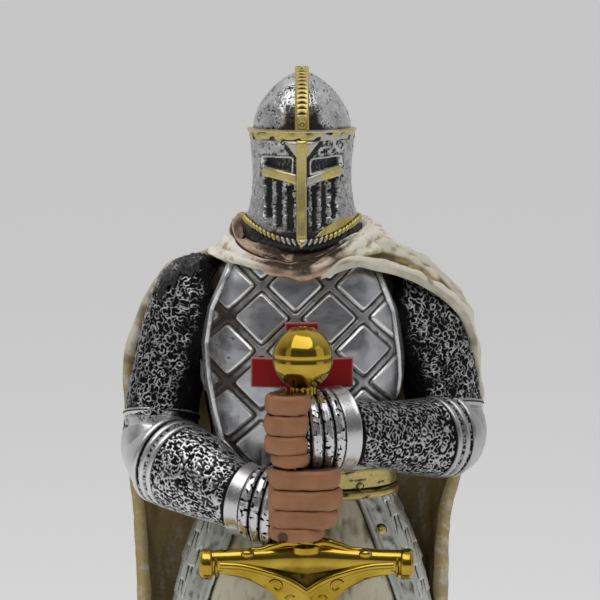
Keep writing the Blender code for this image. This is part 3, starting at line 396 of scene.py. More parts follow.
# Materials
class Look:
    """A material's node tree, with short calls for what the finishes share."""

    def __init__(self, name):
        self.material = bpy.data.materials.new(name)
        self.material.use_nodes = True
        self.nodes = self.material.node_tree.nodes
        self.links = self.material.node_tree.links
        self.shader = self.nodes["Principled BSDF"]
        self.place = self.nodes.new("ShaderNodeTexCoord").outputs["Object"]

    def value(self, name):
        """Value stored at the mesh's points."""
        node = self.nodes.new("ShaderNodeAttribute")
        node.attribute_name = name
        return node.outputs["Fac"]

    def noise(self, wave, detail=3.0, stretch=None):
        """Fractal noise whose coarsest blobs are a wave of so many millimetres."""
        node = self.nodes.new("ShaderNodeTexNoise")
        node.inputs["Scale"].default_value = 1 / (wave * MM)
        node.inputs["Detail"].default_value = detail
        place = self.place
        if stretch:
            mapping = self.nodes.new("ShaderNodeMapping")
            mapping.inputs["Scale"].default_value = [1 / s for s in stretch]
            self.links.new(place, mapping.inputs["Vector"])
            place = mapping.outputs["Vector"]
        self.links.new(place, node.inputs["Vector"])
        return node.outputs["Fac"]

    def step(self, source, low, high, first=0.0, last=1.0):
        """Smooth step of a value between two limits."""
        node = self.nodes.new("ShaderNodeMapRange")
        node.interpolation_type = "SMOOTHSTEP"
        self.links.new(source, node.inputs["Value"])
        settings = (("From Min", low), ("From Max", high), ("To Min", first), ("To Max", last))
        for name, number in settings:
            node.inputs[name].default_value = number
        return node.outputs["Result"]

    def math(self, operation, first, second):
        """Sum, product or the like of two values or numbers."""
        node = self.nodes.new("ShaderNodeMath")
        node.operation = operation
        for socket, item in zip(node.inputs, (first, second)):
            if isinstance(item, (int, float)):
                socket.default_value = item
            else:
                self.links.new(item, socket)
        return node.outputs["Value"]

    def mix(self, share, first, second):
        """Blend of two colours by a share from 0 to 1."""
        node = self.nodes.new("ShaderNodeMix")
        node.data_type = "RGBA"
        self.links.new(share, node.inputs["Factor"])
        sockets = [s for s in node.inputs if s.type == "RGBA"]
        for socket, item in zip(sockets, (first, second)):
            if isinstance(item, tuple):
                socket.default_value = (*item, 1.0)
            else:
                self.links.new(item, socket)
        return next(s for s in node.outputs if s.type == "RGBA")

    def varied(self, base, noise, amount):
        """The base value raised and lowered by a noise."""
        return self.math("ADD", base, self.math("MULTIPLY", self.math("SUBTRACT", noise, 0.5), amount))

    def bump(self, height, depth, strength=1.0):
        """Fine surface detail too small for the mesh, as a height of so many millimetres."""
        node = self.nodes.new("ShaderNodeBump")
        node.inputs["Distance"].default_value = depth * MM
        node.inputs["Strength"].default_value = strength
        self.links.new(height, node.inputs["Height"])
        self.links.new(node.outputs["Normal"], self.shader.inputs["Normal"])

    def set(self, **values):
        """Link or set the shader's sockets; a name's words are joined by underscores."""
        for name, item in values.items():
            socket = self.shader.inputs[name.replace("_", " ").title().replace("Ior", "IOR")]
            if isinstance(item, tuple):
                socket.default_value = (*item, 1.0)
            elif isinstance(item, (int, float)):
                socket.default_value = item
            else:
                self.links.new(item, socket)
        return self.material


SILVER = (0.62, 0.62, 0.63)
BLACK = (0.004, 0.0035, 0.004)
BROWN = (0.060, 0.035, 0.018)


def washed_silver(name, silver=SILVER, low=0.35, high=0.65, rough=0.32):
    """Silver paint brushed over a black wash, which stays in the hollows. Tone dims the silver; on the
    sleeves this is partly painted shade towards the chest.
    """
    look = Look(name)
    grain = look.noise(0.7, 4.0)
    spots = look.noise(2.6, 3.0)
    height = look.varied(look.value("relief"), grain, 0.5)
    share = look.step(height, low, high)
    # Dimming by tone and by spots; on the sleeves the tone is partly painted shade
    dimming_and_shade = look.step(look.math("ADD", look.value("tone"), look.math("MULTIPLY", spots, 0.25)), 0.1, 1.15)
    bright = look.mix(dimming_and_shade, silver, tuple(0.16 * c for c in silver))
    colour = look.mix(share, BLACK, bright)
    look.bump(grain, 0.10, 0.5)
    look.shader.inputs["Specular IOR Level"].default_value = 0.15
    return look.set(
        base_color=colour,
        metallic=look.step(share, 0.0, 1.0, 0.0, 0.92),
        roughness=look.step(share, 0.0, 1.0, 0.7, rough),
    )


def helm_metal():
    """Satin silver with fine black crackle, and a brown-black wash where the tone asks for it."""
    look = Look("helm_silver")
    grain = look.noise(0.55, 4.0)
    broad = look.noise(5.0, 3.0)
    height = look.varied(look.value("relief"), grain, 0.7)
    share = look.step(height, 0.10, 0.78)
    wash = look.step(look.math("ADD", look.value("tone"), look.math("MULTIPLY", grain, 0.5)), 0.45, 1.0)
    silver = look.mix(look.step(broad, 0.35, 0.65), (0.74, 0.74, 0.74), (0.58, 0.58, 0.58))
    bare = look.mix(wash, silver, (0.030, 0.020, 0.014))
    look.bump(grain, 0.12, 0.6)
    return look.set(
        base_color=look.mix(share, BLACK, bare),
        metallic=look.math("MULTIPLY", share, look.step(wash, 0.0, 1.0, 0.93, 0.3)),
        roughness=look.step(share, 0.0, 1.0, 0.5, 0.30),
    )


def painted_gold():
    """Dull gold paint over silver: tone 1 is worn back to silver, relief 0 is black."""
    look = Look("gold_paint")
    grain = look.noise(0.9, 4.0)
    worn = look.step(look.math("ADD", look.value("tone"), look.math("MULTIPLY", grain, 0.5)), 0.35, 1.15)
    gold = look.mix(look.step(grain, 0.3, 0.7), (0.68, 0.56, 0.21), (0.58, 0.46, 0.14))
    metal = look.mix(worn, gold, (0.56, 0.55, 0.50))
    share = look.step(look.varied(look.value("relief"), grain, 0.5), 0.3, 0.6)
    look.bump(grain, 0.08, 0.4)
    return look.set(
        base_color=look.mix(share, (0.018, 0.012, 0.008), metal),
        metallic=look.step(share, 0.0, 1.0, 0.0, 0.7),
        roughness=look.step(share, 0.0, 1.0, 0.6, 0.32),
    )


def satin_plate():
    """Breastplate silver: satin pads with brighter edges by tone, dark lines, brown grime in places."""
    look = Look("breastplate_silver")
    brushed = look.noise(0.8, 4.0, (6, 1, 1))
    broad = look.noise(9.0, 2.0)
    grime = look.noise(3.2, 5.0)
    relief = look.value("relief")
    share = look.step(look.varied(relief, grime, 0.45), 0.12, 0.5)
    pad = look.mix(look.step(broad, 0.3, 0.7), (0.38, 0.39, 0.42), (0.52, 0.52, 0.53))
    silver = look.mix(look.value("tone"), pad, (0.86, 0.86, 0.85))
    dirty = look.math("MULTIPLY", look.step(grime, 0.62, 0.74), look.step(relief, 0.95, 0.3))
    stain = look.step(dirty, 0.2, 0.9)
    colour = look.mix(share, (0.030, 0.022, 0.016), silver)
    look.bump(brushed, 0.03, 0.35)
    return look.set(
        base_color=look.mix(stain, colour, BROWN),
        metallic=look.math("MULTIPLY", look.step(share, 0.0, 1.0, 0.1, 0.9), look.step(stain, 1.0, 0.0)),
        roughness=look.step(brushed, 0.3, 0.7, 0.27, 0.36),
    )


def cloth_paint(name, light, shade, stain, low=0.1, high=0.75):
    """Matte cloth colour, darker in the hollows with a brown wash and painted shade, and brown stains; tone
    adds stain.
    """
    look = Look(name)
    fine = look.noise(1.1, 5.0)
    broad = look.noise(8.0, 4.0)
    height = look.varied(look.value("relief"), broad, 0.8)
    cloth = look.mix(look.step(height, low, high), shade, light)
    amount = look.varied(look.value("tone"), fine, 0.7)
    amount = look.varied(amount, broad, 0.5)
    look.bump(fine, 0.16, 0.6)
    return look.set(
        base_color=look.mix(look.step(amount, 0.25, 0.85), cloth, stain),
        roughness=look.step(fine, 0.3, 0.7, 0.58, 0.78),
    )


def gloss_gold():
    """Plated gold of the sword, dark where the relief is low: in the grooves, and as painted shade under the
    guard's bar.
    """
    look = Look("plated_gold")
    fine = look.noise(1.4, 4.0)
    share = look.step(look.varied(look.value("relief"), fine, 0.2), 0.1, 0.75)
    gold = look.mix(look.step(look.noise(9.0, 2.0), 0.35, 0.7), (0.56, 0.39, 0.060), (0.42, 0.27, 0.028))
    look.bump(look.noise(4.5, 1.0), 0.04, 0.8)
    return look.set(
        base_color=look.mix(share, (0.05, 0.026, 0.006), gold),
        metallic=1.0,
        roughness=look.step(share, 0.0, 1.0, 0.45, 0.13),
    )


def plain_paint(name, light, dark, rough, wave=2.0):
    """Paint of one colour that darkens in the hollows, with a fine grain; tone lightens it."""
    look = Look(name)
    grain = look.noise(wave, 4.0)
    height = look.varied(look.value("relief"), grain, 0.4)
    colour = look.mix(look.step(height, 0.1, 0.8), dark, light)
    pale = tuple(min(1.0, 0.35 + 0.65 * c) for c in light)
    look.bump(grain, 0.05, 0.5)
    return look.set(
        base_color=look.mix(look.value("tone"), colour, pale),
        roughness=look.step(grain, 0.3, 0.7, rough - 0.05, rough + 0.08),
    )


# Helm
def helm_half(z):
    """Half-width of the helm's wall at a height."""
    return smooth(HELM_WALL_Z, HELM_WALL_HALF, z)


def helm_rim(turn):
    """Height of the helm's lower edge, which dips to a point in front."""
    return HELM_RIM_Z - HELM_RIM_DIP * np.clip(np.cos(turn), 0, 1) ** 2.4


def helm_ring(z, turn, grow=0.0):
    """Points round the helm's wall; turn is 0 in front and rises to the viewer's right."""
    half = helm_half(z) + grow
    keel = 0.7 * np.clip(np.cos(turn), 0, 1) ** 12
    return np.stack(
        [half * np.sin(turn), HELM_Y - (HELM_DEPTH * half + keel) * np.cos(turn), z + 0 * turn],
        axis=-1,
    )


def helm_front(x, z):
    """Depth of the helm's front at x and z."""
    half = helm_half(z)
    cos = np.sqrt(np.clip(1 - (x / half) ** 2, 0, 1))
    return HELM_Y - (HELM_DEPTH * half + 0.7 * cos**12) * cos


def helm_turns():
    """Angles round the helm, close together in front."""
    front = math.radians(80)
    return lines((-math.pi, -front, front, math.pi), (0.06, 0.0190, 0.06))[:-1]


def dome_shape(tilt):
    """Share of the dome's half-width and of its height at an angle up from the brow and over."""
    tall = np.sin(tilt)
    wide = np.clip(1 - tall**1.9, 0, 1) ** 0.72
    return np.sign(np.cos(tilt)) * wide, tall


def helm():
    """Wall with eye slots, slits and streaked wash, and the crackled dome."""
    part = Part()
    turn = helm_turns()[None]
    t = np.linspace(0, 1, 106)[:, None]
    z = helm_rim(turn) * (1 - t) + HELM_BROW_Z * t
    wall = helm_ring(z, turn + 0 * t)
    height, relief, tone = helm_marks(wall, np.cos(turn) > 0.1)
    part.add(lifted(wall, height, True), wrap=True, relief=relief, tone=tone)
    under = np.stack([helm_ring(helm_rim(turn[0]), turn[0], grow) for grow in (0.0, -2.5)])
    part.add(under, wrap=True, inside=(0, HELM_Y, 300), relief=0.0)
    wide, tall = dome_shape(np.linspace(0, 0.993, 82)[:, None] * math.pi / 2)
    x = DOME_HALF[0] * wide * np.sin(turn)
    y = HELM_Y - DOME_HALF[1] * wide * np.cos(turn)
    dome = np.stack([x, y, HELM_BROW_Z + (HELM_TOP_Z - HELM_BROW_Z) * tall + 0 * turn], axis=-1)
    crest_side = np.exp(-((np.abs(x) / 7.5) ** 2))
    fine = waves(dome, 0.95, 12)
    worm = rise(np.abs(waves(dome, 1.4, 11)), 0.24, 0.04)
    patch = rise(waves(dome, 5.0, 13) + 1.6 * crest_side, -0.4, 1.8)
    specks = np.maximum(0.9 * worm, rise(fine, 0.2, 1.0)) * (0.25 + 0.75 * patch)
    relief = 1 - np.clip(specks, 0, 1)
    beside = np.exp(-(((np.abs(x) - 3.0) / 2.4) ** 2)) * rise(dome[..., 2], 294, 284.5) * (dome[..., 1] < 0)
    base = rise(dome[..., 2], 284.6, 282.4)
    tone = np.clip(1.0 * beside + 0.6 * base + 0.25 * rise(waves(dome, 3.0, 14), 0.8, 1.8), 0, 1)
    height = 0.035 * waves(dome, 2.4, 15) - 0.14 * specks
    part.add(lifted(dome, height, True), wrap=True, ends=(False, True), relief=relief, tone=tone)
    show(part, "helm", helm_metal(), "knight")


def helm_marks(wall, front):
    """Height, relief and tone over the helm's wall."""
    x, z = wall[..., 0], wall[..., 2]
    fine = waves(wall, 0.95, 21)
    blotch = waves(wall, 2.6, 22)
    worm = rise(np.abs(waves(wall, 1.7, 24, (1, 1, 1.5))), 0.24, 0.03)
    centre = np.exp(-((x / 10.5) ** 2)) * front
    pits = rise(fine + 0.35 * blotch, 1.35 - 0.8 * centre, 2.1 - 0.8 * centre)
    speck = rise(waves(wall, 0.8, 27), 0.3, 1.3)
    dark = np.maximum(pits, worm * rise(blotch, -1.1 - 0.9 * centre, 0.6 - 0.9 * centre))
    dark = np.maximum(dark, speck * 0.55)
    relief = 1 - 0.75 * dark
    height = 0.05 * blotch - 0.14 * dark
    # Scratched dark metal above the right eye slot, and shade beside the gold
    above = rise(z, 275.2, 276.4) * rise(x, 1.5, 3.0) * rise(x, 13.2, 11.5) * front
    slanted = rise(waves(wall, 1.5, 23, (2.6, 1, 1)) + 0.7 * waves(wall, 1.3, 25), -0.2, 0.7)
    relief -= above * 0.7 * slanted
    beside = rise(np.abs(x + 0.2), 3.4, 2.2) * rise(z, 277, 274) * front
    bars = (((-11.4, 269.3), (-1.8, 267.0)), ((1.4, 266.8), (11.4, 269.3)))
    bars += (((-5.6, 279.0), (-2.2, 274.6)), ((5.4, 279.0), (2.2, 274.6)))
    for bar in bars:
        beside = np.maximum(beside, rise(line_distance(x, z, bar), 0.85, 0.3) * front)
    relief -= 0.9 * beside * rise(fine, -2.2, -0.6)
    tone = 0.34 + 0.5 * rise(z, 256.0 - 0.16 * np.abs(x), 252.6) * front
    tone = tone + 0.3 * centre * rise(blotch, 0.2, 1.4)
    ragged = 0.16 * fine + 0.10 * waves(wall, 1.8, 26, (1, 1, 2))
    for left, right, top, foot in SLITS:
        wide = np.abs(x - (left + right) / 2) - (right - left) / 2 - 0.18 + ragged
        tall = np.maximum(z - top, foot - z) + ragged
        out = np.maximum(wide, tall * 0.7)
        hole = rise(out, 0.12, -0.12) * front
        lip = rise(out, 0.10, 0.25) * rise(out, 1.2, 0.5) * front
        relief = np.maximum(relief, lip * rise(fine, 1.3, 0.4))
        height = height * (1 - hole) - 1.15 * hole + 0.12 * lip
        relief = relief * (1 - rise(hole, 0.0, 0.6))
    for corners in EYE_SLOTS:
        out = quad_distance(x, z, corners)
        hole = rise(out, 0.02, -0.22) * front
        line = rise(out, 0.0, 0.12) * rise(out, 0.62, 0.42) * front
        shade = rise(out, 0.5, 0.62) * rise(out, 1.15, 0.8) * front
        height = height * (1 - hole) - 1.5 * hole + 0.34 * line
        # Mottled silver inside the middle of each eye slot: a painted glint
        inner_glint = 0.30 * rise(fine, -0.6, 0.9) * rise(np.abs(x), 9.2, 7.6)
        relief = (relief - 0.6 * shade) * (1 - hole) + hole * inner_glint
        relief = np.maximum(relief, line)
        tone = tone * (1 - line)
    return height, np.clip(relief, 0, 1), np.clip(tone, 0, 1)


def front_patch(surface, top, foot, rows, cols):
    """Grid on a front surface between a top and a foot edge, each given by two x, z ends."""
    v = np.linspace(0, 1, rows)[:, None]
    u = np.linspace(0, 1, cols)[None]
    ends = [np.asarray(side, float) for side in (*top, *foot)]
    x = (ends[0][0] * (1 - u) + ends[1][0] * u) * (1 - v) + (ends[2][0] * (1 - u) + ends[3][0] * u) * v
    z = (ends[0][1] * (1 - u) + ends[1][1] * u) * (1 - v) + (ends[2][1] * (1 - u) + ends[3][1] * u) * v
    return np.stack([x, surface(x, z), z], axis=-1)


def bevel(rows, cols, edge):
    """Share of full height over a plate: lower in the outermost row and column."""
    v = np.minimum(np.arange(rows), np.arange(rows)[::-1])[:, None]
    u = np.minimum(np.arange(cols), np.arange(cols)[::-1])[None]
    return np.clip(np.minimum(v, u) / edge, 0, 1)


def raised(part, patch, lift, sink=1.2, edge=2, tone=0.0, relief=1.0):
    """Add a plate with bevelled edges, standing forward of a patch on a front surface."""
    rows, cols = patch.shape[:2]
    top = patch.copy()
    top[..., 1] -= lift * (0.55 + 0.45 * bevel(rows, cols, edge))
    foot = patch.copy()
    foot[..., 1] += sink
    part.plate(top, foot, relief=relief, tone=tone)


def helm_gold():
    """Brow band, nasal with its funnel, eye bars, beaded rim and slotted crest."""
    part = Part()
    brow_band(part)
    patches = (
        (((-4.9, 279.3), (4.9, 279.3)), ((-1.6, 274.8), (1.4, 274.8)), 0.85, 18, 30),
        (((-11.2, 272.1), (-1.6, 270.0)), ((-11.2, 269.5), (-1.6, 267.2)), 0.85, 12, 36),
        (((1.3, 269.1), (11.2, 272.3)), ((1.3, 266.9), (11.2, 269.5)), 0.85, 12, 36),
        (((-1.65, 279.6), (1.35, 279.6)), ((-1.65, 252.0), (1.35, 252.0)), 1.10, 90, 14),
        (((-1.65, 252.0), (1.35, 252.0)), ((-0.4, 249.4), (0.0, 249.4)), 1.10, 8, 12),
    )
    for n, (top, foot, lift, rows, cols) in enumerate(patches):
        patch = front_patch(helm_front, top, foot, rows, cols)
        worn = 0.22 + 0.10 * waves(patch, 3.0, 31)
        if n == 0:
            worn = worn + 0.6 * rise(np.abs(patch[..., 0]), 1.6, 2.4)
        if n == 2:
            worn = worn + 0.8 * rise(patch[..., 0], 6.5, 3.5)
        edge = 1 - bevel(rows, cols, 2)
        raised(part, patch, lift, tone=np.clip(worn, 0, 1), relief=1 - 0.35 * edge)
    beads(part)
    crest(part)
    show(part, "helm_gold", painted_gold(), "knight", 50)


def brow_band(part):
    """Band round the brow, with a thin raised line along its top."""
    turn = around(240)
    profile = ((279.2, -0.5), (279.5, 0.10), (281.6, 0.15), (281.75, 0.40))
    profile += ((282.1, 0.50), (282.5, 0.42), (282.6, -1.6))
    rings = []
    for (z0, g0), (z1, g1) in zip(profile[:-1], profile[1:]):
        for t in (0.0, 0.25, 0.5, 0.75):
            rings.append(helm_ring(z0 + (z1 - z0) * t, turn, g0 + (g1 - g0) * t))
    rings.append(helm_ring(profile[-1][0], turn, profile[-1][1]))
    grid = np.array(rings)
    patchy = waves(grid, 2.2, 32, (2.0, 2.0, 1))
    x, z = grid[..., 0], grid[..., 2]
    front = grid[..., 1] < 0
    right = rise(x, 2.2, 3.6) * front
    tone = np.clip(0.12 + 0.12 * patchy + 0.85 * right * rise(z + 0.5 * patchy, 281.3, 280.6), 0, 1)
    line = z > 281.68
    tone[line] = (0.35 + 0.5 * right * rise(x, 10, 7))[line]
    relief = 0.85 + 0.3 * patchy - 0.75 * rise(z + 0.35 * patchy, 279.9, 279.4)
    relief[line] = 1.0
    part.add(lifted(grid, 0.04 * patchy, True), wrap=True, relief=np.clip(relief, 0, 1), tone=tone)


def beads(part):
    """Slanted studs along the helm's lower edge like a rope, gold at the sides and bare in front."""
    draw = np.random.default_rng(33)
    turns = np.linspace(-math.pi, math.pi, 72)[:-1]
    for turn in turns:
        centre = helm_ring(helm_rim(turn) - 0.1, turn, 0.62)
        half = draw.uniform(0.48, 0.62)
        tall = draw.uniform(0.9, 1.15)
        bead = ball(centre, (half, half, tall), 10, 8)
        lean = (bead[..., 2] - centre[2]) * (0.45 if turn > 0 else -0.45)
        bead[..., 0] += lean * math.cos(turn)
        bead[..., 1] += lean * math.sin(turn)
        bare = rise(abs(centre[0]), 8.0, 5.0) * (centre[1] < 0) * draw.uniform(0.7, 1.0)
        dim = draw.uniform(0.5, 1.0) if abs(centre[0]) < 7 else draw.uniform(0.75, 1.0)
        part.add(bead, wrap=True, ends=(True, True), relief=dim, tone=float(bare))
    turn = around(200)
    cord = []
    for angle in around(8):
        z = helm_rim(turn) - 0.1 + 0.75 * math.sin(angle)
        cord.append(helm_ring(z, turn, 0.15 + 0.40 * math.cos(angle)))
    part.add(np.array(cord), wrap=True, close=True, relief=0.0)
    # Painted wedge above the studs on the right
    x = np.linspace(3.8, 15.2, 50)[None]
    thick = smooth((3.8, 6, 9, 12, 15.2), (0.3, 1.8, 2.5, 2.1, 0.6), x)
    z = helm_rim(np.arcsin(x / 16.6)) + 0.8 + thick * np.linspace(1, 0, 10)[:, None]
    raised(part, np.stack([x + 0 * z, helm_front(x, z), z], axis=-1), 0.30, sink=0.4, tone=0.0)


def crest(part):
    """Strip over the dome from the brow to the nape, with a row of crescent slots."""
    tilt = np.linspace(0.005, 0.965, 360) * math.pi
    wide, tall = dome_shape(tilt)
    run = np.stack([HELM_Y - DOME_HALF[1] * wide, HELM_BROW_Z + (HELM_TOP_Z - HELM_BROW_Z) * tall], axis=-1)
    tangent = np.gradient(run, axis=0)
    tangent /= np.linalg.norm(tangent, axis=1)[:, None]
    normal = np.stack([-tangent[:, 1], tangent[:, 0]], axis=-1)
    along = np.concatenate([[0.0], np.cumsum(np.linalg.norm(np.diff(run, axis=0), axis=1))])[:, None]
    side = np.linspace(-1.95, 1.95, 23)[None]
    pitch = 1.62
    bowed = along - 0.42 * (1 - (side / 1.25) ** 2)
    away = np.abs((bowed % pitch) - pitch / 2)
    reach = 0.46 * np.clip(1 - (side / 1.4) ** 2, 0, 1)
    slot = rise(away - reach, 0.02, -0.14) * rise(along, 3.6, 4.0)
    lift = 1.25 - 0.35 * rise(np.abs(side), 1.65, 1.95) - 0.10 * rise(np.abs(side), 1.6, 1.3) - 0.5 * slot
    level = run[:, None] + normal[:, None] * lift[..., None]
    top = np.stack([side + 0 * level[..., 0], level[..., 0], level[..., 1]], axis=-1)
    low = run - normal * 1.6
    foot = np.stack([side * 1.1 + 0 * along, low[:, :1] + 0 * side, low[:, 1:] + 0 * side], axis=-1)
    part.plate(top, foot, relief=1 - slot, tone=0.10)
    stud = turned(
        (
            (-0.6, 1.15), (0.5, 1.2), (0.85, 1.05), (0.9, 0.8),
            (0.6, 0.6), (0.55, 0.5), (0.75, 0.3), (0.8, 0.1),
        ),
        (0, HELM_Y - DOME_HALF[1] - 1.1, 284.0), (0, -1, 0.15), 28, 0.12,
    )
    middle = np.linalg.norm(stud - stud.mean(axis=1, keepdims=True), axis=-1)
    shade = 1 - 0.9 * rise(np.abs(middle - 0.55), 0.16, 0.04)
    part.add(stud, wrap=True, ends=(True, True), relief=shade)


def dark_padding():
    """Black lip under the helm, the core of the neck, and the flap on the left shoulder."""
    part = Part()
    turn = around(160)
    loops = []
    for angle in around(16):
        reach = 3.1 * math.cos(angle) + 0 * turn
        x = (14.0 + reach) * np.sin(turn)
        y = HELM_Y - (16.3 + reach) * np.cos(turn)
        loops.append(np.stack([x, y, 254.0 - 4.0 * np.cos(turn) + 3.1 * math.sin(angle)], axis=-1))
    grid = np.array(loops)
    lumps = waves(grid, 1.9, 41)
    grid = lifted(grid, 0.22 * lumps, True, np.array([0.0, HELM_Y, 254.0]))
    part.add(grid, wrap=True, close=True, relief=0.5 * rise(lumps, 0.4, 2.0))
    core = turned(((228, 13), (262, 13)), (0, HELM_Y, 0), (0, 0, 1), 40, 2.0)
    part.add(core, wrap=True, ends=(True, True), relief=0.2)
    rows, cols = 44, 70
    x = np.linspace(-41.6, -29.4, cols)[None]
    t = np.linspace(0, 1, rows)[:, None]
    y = -8.8 + 9.3 * t + 0 * x
    z = 245.9 - 0.055 * (x + 30) ** 2 - 2.4 * (1 - t) + 0.8 * np.sin(1.25 * x + 0.5) * (1 - 0.7 * t)
    top = np.stack([x + 0 * t, y, z], axis=-1)
    creases = waves(top, 3.4, 42, (1.6, 1, 1)) + 0.5 * waves(top, 1.7, 43)
    top = top + np.stack([0 * z, 0 * z, 0.5 * creases], axis=-1)
    part.plate(top, top - (0, 0, 2.3), relief=rise(creases, 0.0, 1.9), side_relief=0.35)
    look = plain_paint("black_paint", (0.085, 0.085, 0.09), (0.008, 0.007, 0.007), 0.42, 1.2)
    show(part, "dark_padding", look, "knight")


# Collar and cape
COLLAR_TURNS = (-180, -90, -50, 0, 50, 90, 180)
# Radius and height round the neck at those turns: from under the helm, over the crease between band
# and roll (the third), over the roll and back in below
COLLAR_SECTION = (
    ((17.5, 17.0, 17.3, 17.5, 17.0, 16.6, 17.5), (253.5, 251.0, 250.6, 248.6, 251.0, 252.5, 253.5)),
    ((19.0, 18.6, 19.4, 20.6, 18.0, 18.0, 19.0), (255.4, 252.6, 249.6, 246.8, 252.2, 254.0, 255.4)),
    ((21.0, 20.4, 21.1, 21.6, 19.2, 19.6, 21.0), (256.8, 255.3, 248.8, 245.5, 252.8, 254.9, 256.8)),
    ((22.4, 21.9, 22.3, 22.6, 21.2, 21.8, 22.4), (255.6, 251.2, 248.3, 245.2, 252.0, 254.4, 255.6)),
    ((23.5, 24.6, 23.7, 23.3, 22.9, 25.0, 23.5), (252.0, 248.0, 246.6, 243.2, 249.6, 251.0, 252.0)),
    ((22.5, 26.8, 23.0, 22.0, 22.3, 26.4, 22.5), (247.0, 245.8, 244.6, 240.9, 246.2, 246.6, 247.0)),
    ((17.0, 18.0, 17.0, 16.0, 17.0, 18.0, 17.0), (246.0, 243.0, 243.0, 241.5, 244.0, 244.0, 246.0)),
)


def collar():
    """Cowl round the neck: a pinkish band inside, and a cream roll outside that rises to the right."""
    part = Part()
    turn = np.linspace(-math.pi, math.pi, 281)[:-1]
    table = np.array(COLLAR_SECTION)
    radius = np.array([smooth(COLLAR_TURNS, row, np.degrees(turn)) for row in table[:, 0]])
    height = np.array([smooth(COLLAR_TURNS, row, np.degrees(turn)) for row in table[:, 1]])
    across = np.linspace(0, 6, 59)
    radius = smooth(np.arange(7), radius, across)
    height = smooth(np.arange(7), height, across)
    grid = np.stack([radius * np.sin(turn), HELM_Y - radius * np.cos(turn), height], axis=-1)
    across = across[:, None] + 0 * turn
    front = rise(np.abs(turn), 1.0, 0.2)
    right = rise(turn, 0.2, 0.75) * rise(turn, 2.9, 2.4)
    gnarl = np.abs(waves(grid, 2.6, 51, (1.4, 1.4, 0.7)))
    crease = rise(gnarl, 0.30, 0.0) * rise(across, 2.6, 1.8) * front
    broad = waves(grid, 7.0, 52)
    around_neck = turn + 0 * across
    small = waves(np.stack([3.4 * across, 2.6 * around_neck, 0 * across], axis=-1), 2.4, 53)
    fold = np.sin(5.2 * across + 2.2 * turn + 0.6 * broad) * rise(across, 2.2, 3.0)
    seam = rise(np.abs(across - 2.15 - 0.12 * broad), 0.42, 0.10)
    lump = 0.22 * broad + 0.10 * small + (0.25 + 0.35 * right) * fold - 0.5 * seam - 0.4 * crease
    relief = 0.74 + 0.16 * fold + 0.10 * small - 0.8 * seam * (1 - 0.7 * right) - 0.75 * crease
    relief -= 0.72 * front * rise(across, 5.2, 3.6) * rise(broad + small, -2.2, 0.2)
    # Darker along the top edge, just under the helm: painted shade
    relief -= 0.35 * rise(across, 0.9, 0.2)
    tone = rise(across, 2.2, 2.0) * (1 - right)
    tone = np.maximum(tone, 0.55 * front + 0.35 * front * rise(small, -1.2, 0.4))
    grid = lifted(grid, lump, True, np.array([0.0, HELM_Y, 246.0]))
    part.add(grid, wrap=True, close=True, relief=np.clip(relief, 0, 1), tone=np.clip(tone, 0, 1))
    show(part, "collar", collar_paint(), "knight")


def collar_paint():
    """Cream outside, pinkish tan inside where the tone is high, dark brown in the creases."""
    look = Look("collar_paint")
    fine = look.noise(1.2, 5.0)
    broad = look.noise(4.0, 4.0)
    side = look.step(look.varied(look.value("tone"), broad, 0.2), 0.1, 0.9)
    cream = look.mix(look.step(broad, 0.48, 0.66), (0.97, 0.94, 0.81), (0.62, 0.51, 0.32))
    tan = look.mix(look.step(fine, 0.3, 0.7), (0.70, 0.52, 0.39), (0.48, 0.32, 0.21))
    cloth = look.mix(side, cream, tan)
    height = look.varied(look.value("relief"), fine, 0.6)
    look.bump(fine, 0.10, 0.5)
    return look.set(
        base_color=look.mix(look.step(height, 0.10, 0.62), (0.045, 0.024, 0.010), cloth),
        roughness=look.step(fine, 0.3, 0.7, 0.6, 0.8),
    )


def cape_point(u, v, folded=1.0):
    """Face of the cape: u runs from its left edge at -1 round the back to 1, v down from 0."""
    z = CAPE_TOP_Z + (CAPE_HEM_Z - CAPE_TOP_Z) * v
    low = np.clip((235 - z) / 220, 0, 1)
    turn = u * math.pi / 2
    fold = np.sin(9.2 * turn + 0.6 + 1.1 * low) + 0.5 * np.sin(15.7 * turn + 2.0)
    fold = fold * (0.4 + 2.4 * low) * np.clip(1.25 - np.abs(u) ** 6, 0, 1)
    fold = np.where(z > 235, 0, fold) * folded
    reach = np.where(u > 0, smooth(CAPE_Z, CAPE_RIGHT, z), smooth(CAPE_Z, CAPE_LEFT, z))
    half = reach + 0.35 * fold
    back = smooth(CAPE_Z, CAPE_BACK, z) + fold
    right = smooth(CAPE_Z, CAPE_EDGE_RIGHT, z)
    left = smooth(CAPE_Z, CAPE_EDGE_LEFT, z)
    edge = np.where(u > 0, right, left)
    x = half * np.sin(turn)
    y = edge + (back - edge) * np.cos(turn) ** 0.8
    return np.stack([x, y, z + 0 * u], axis=-1)


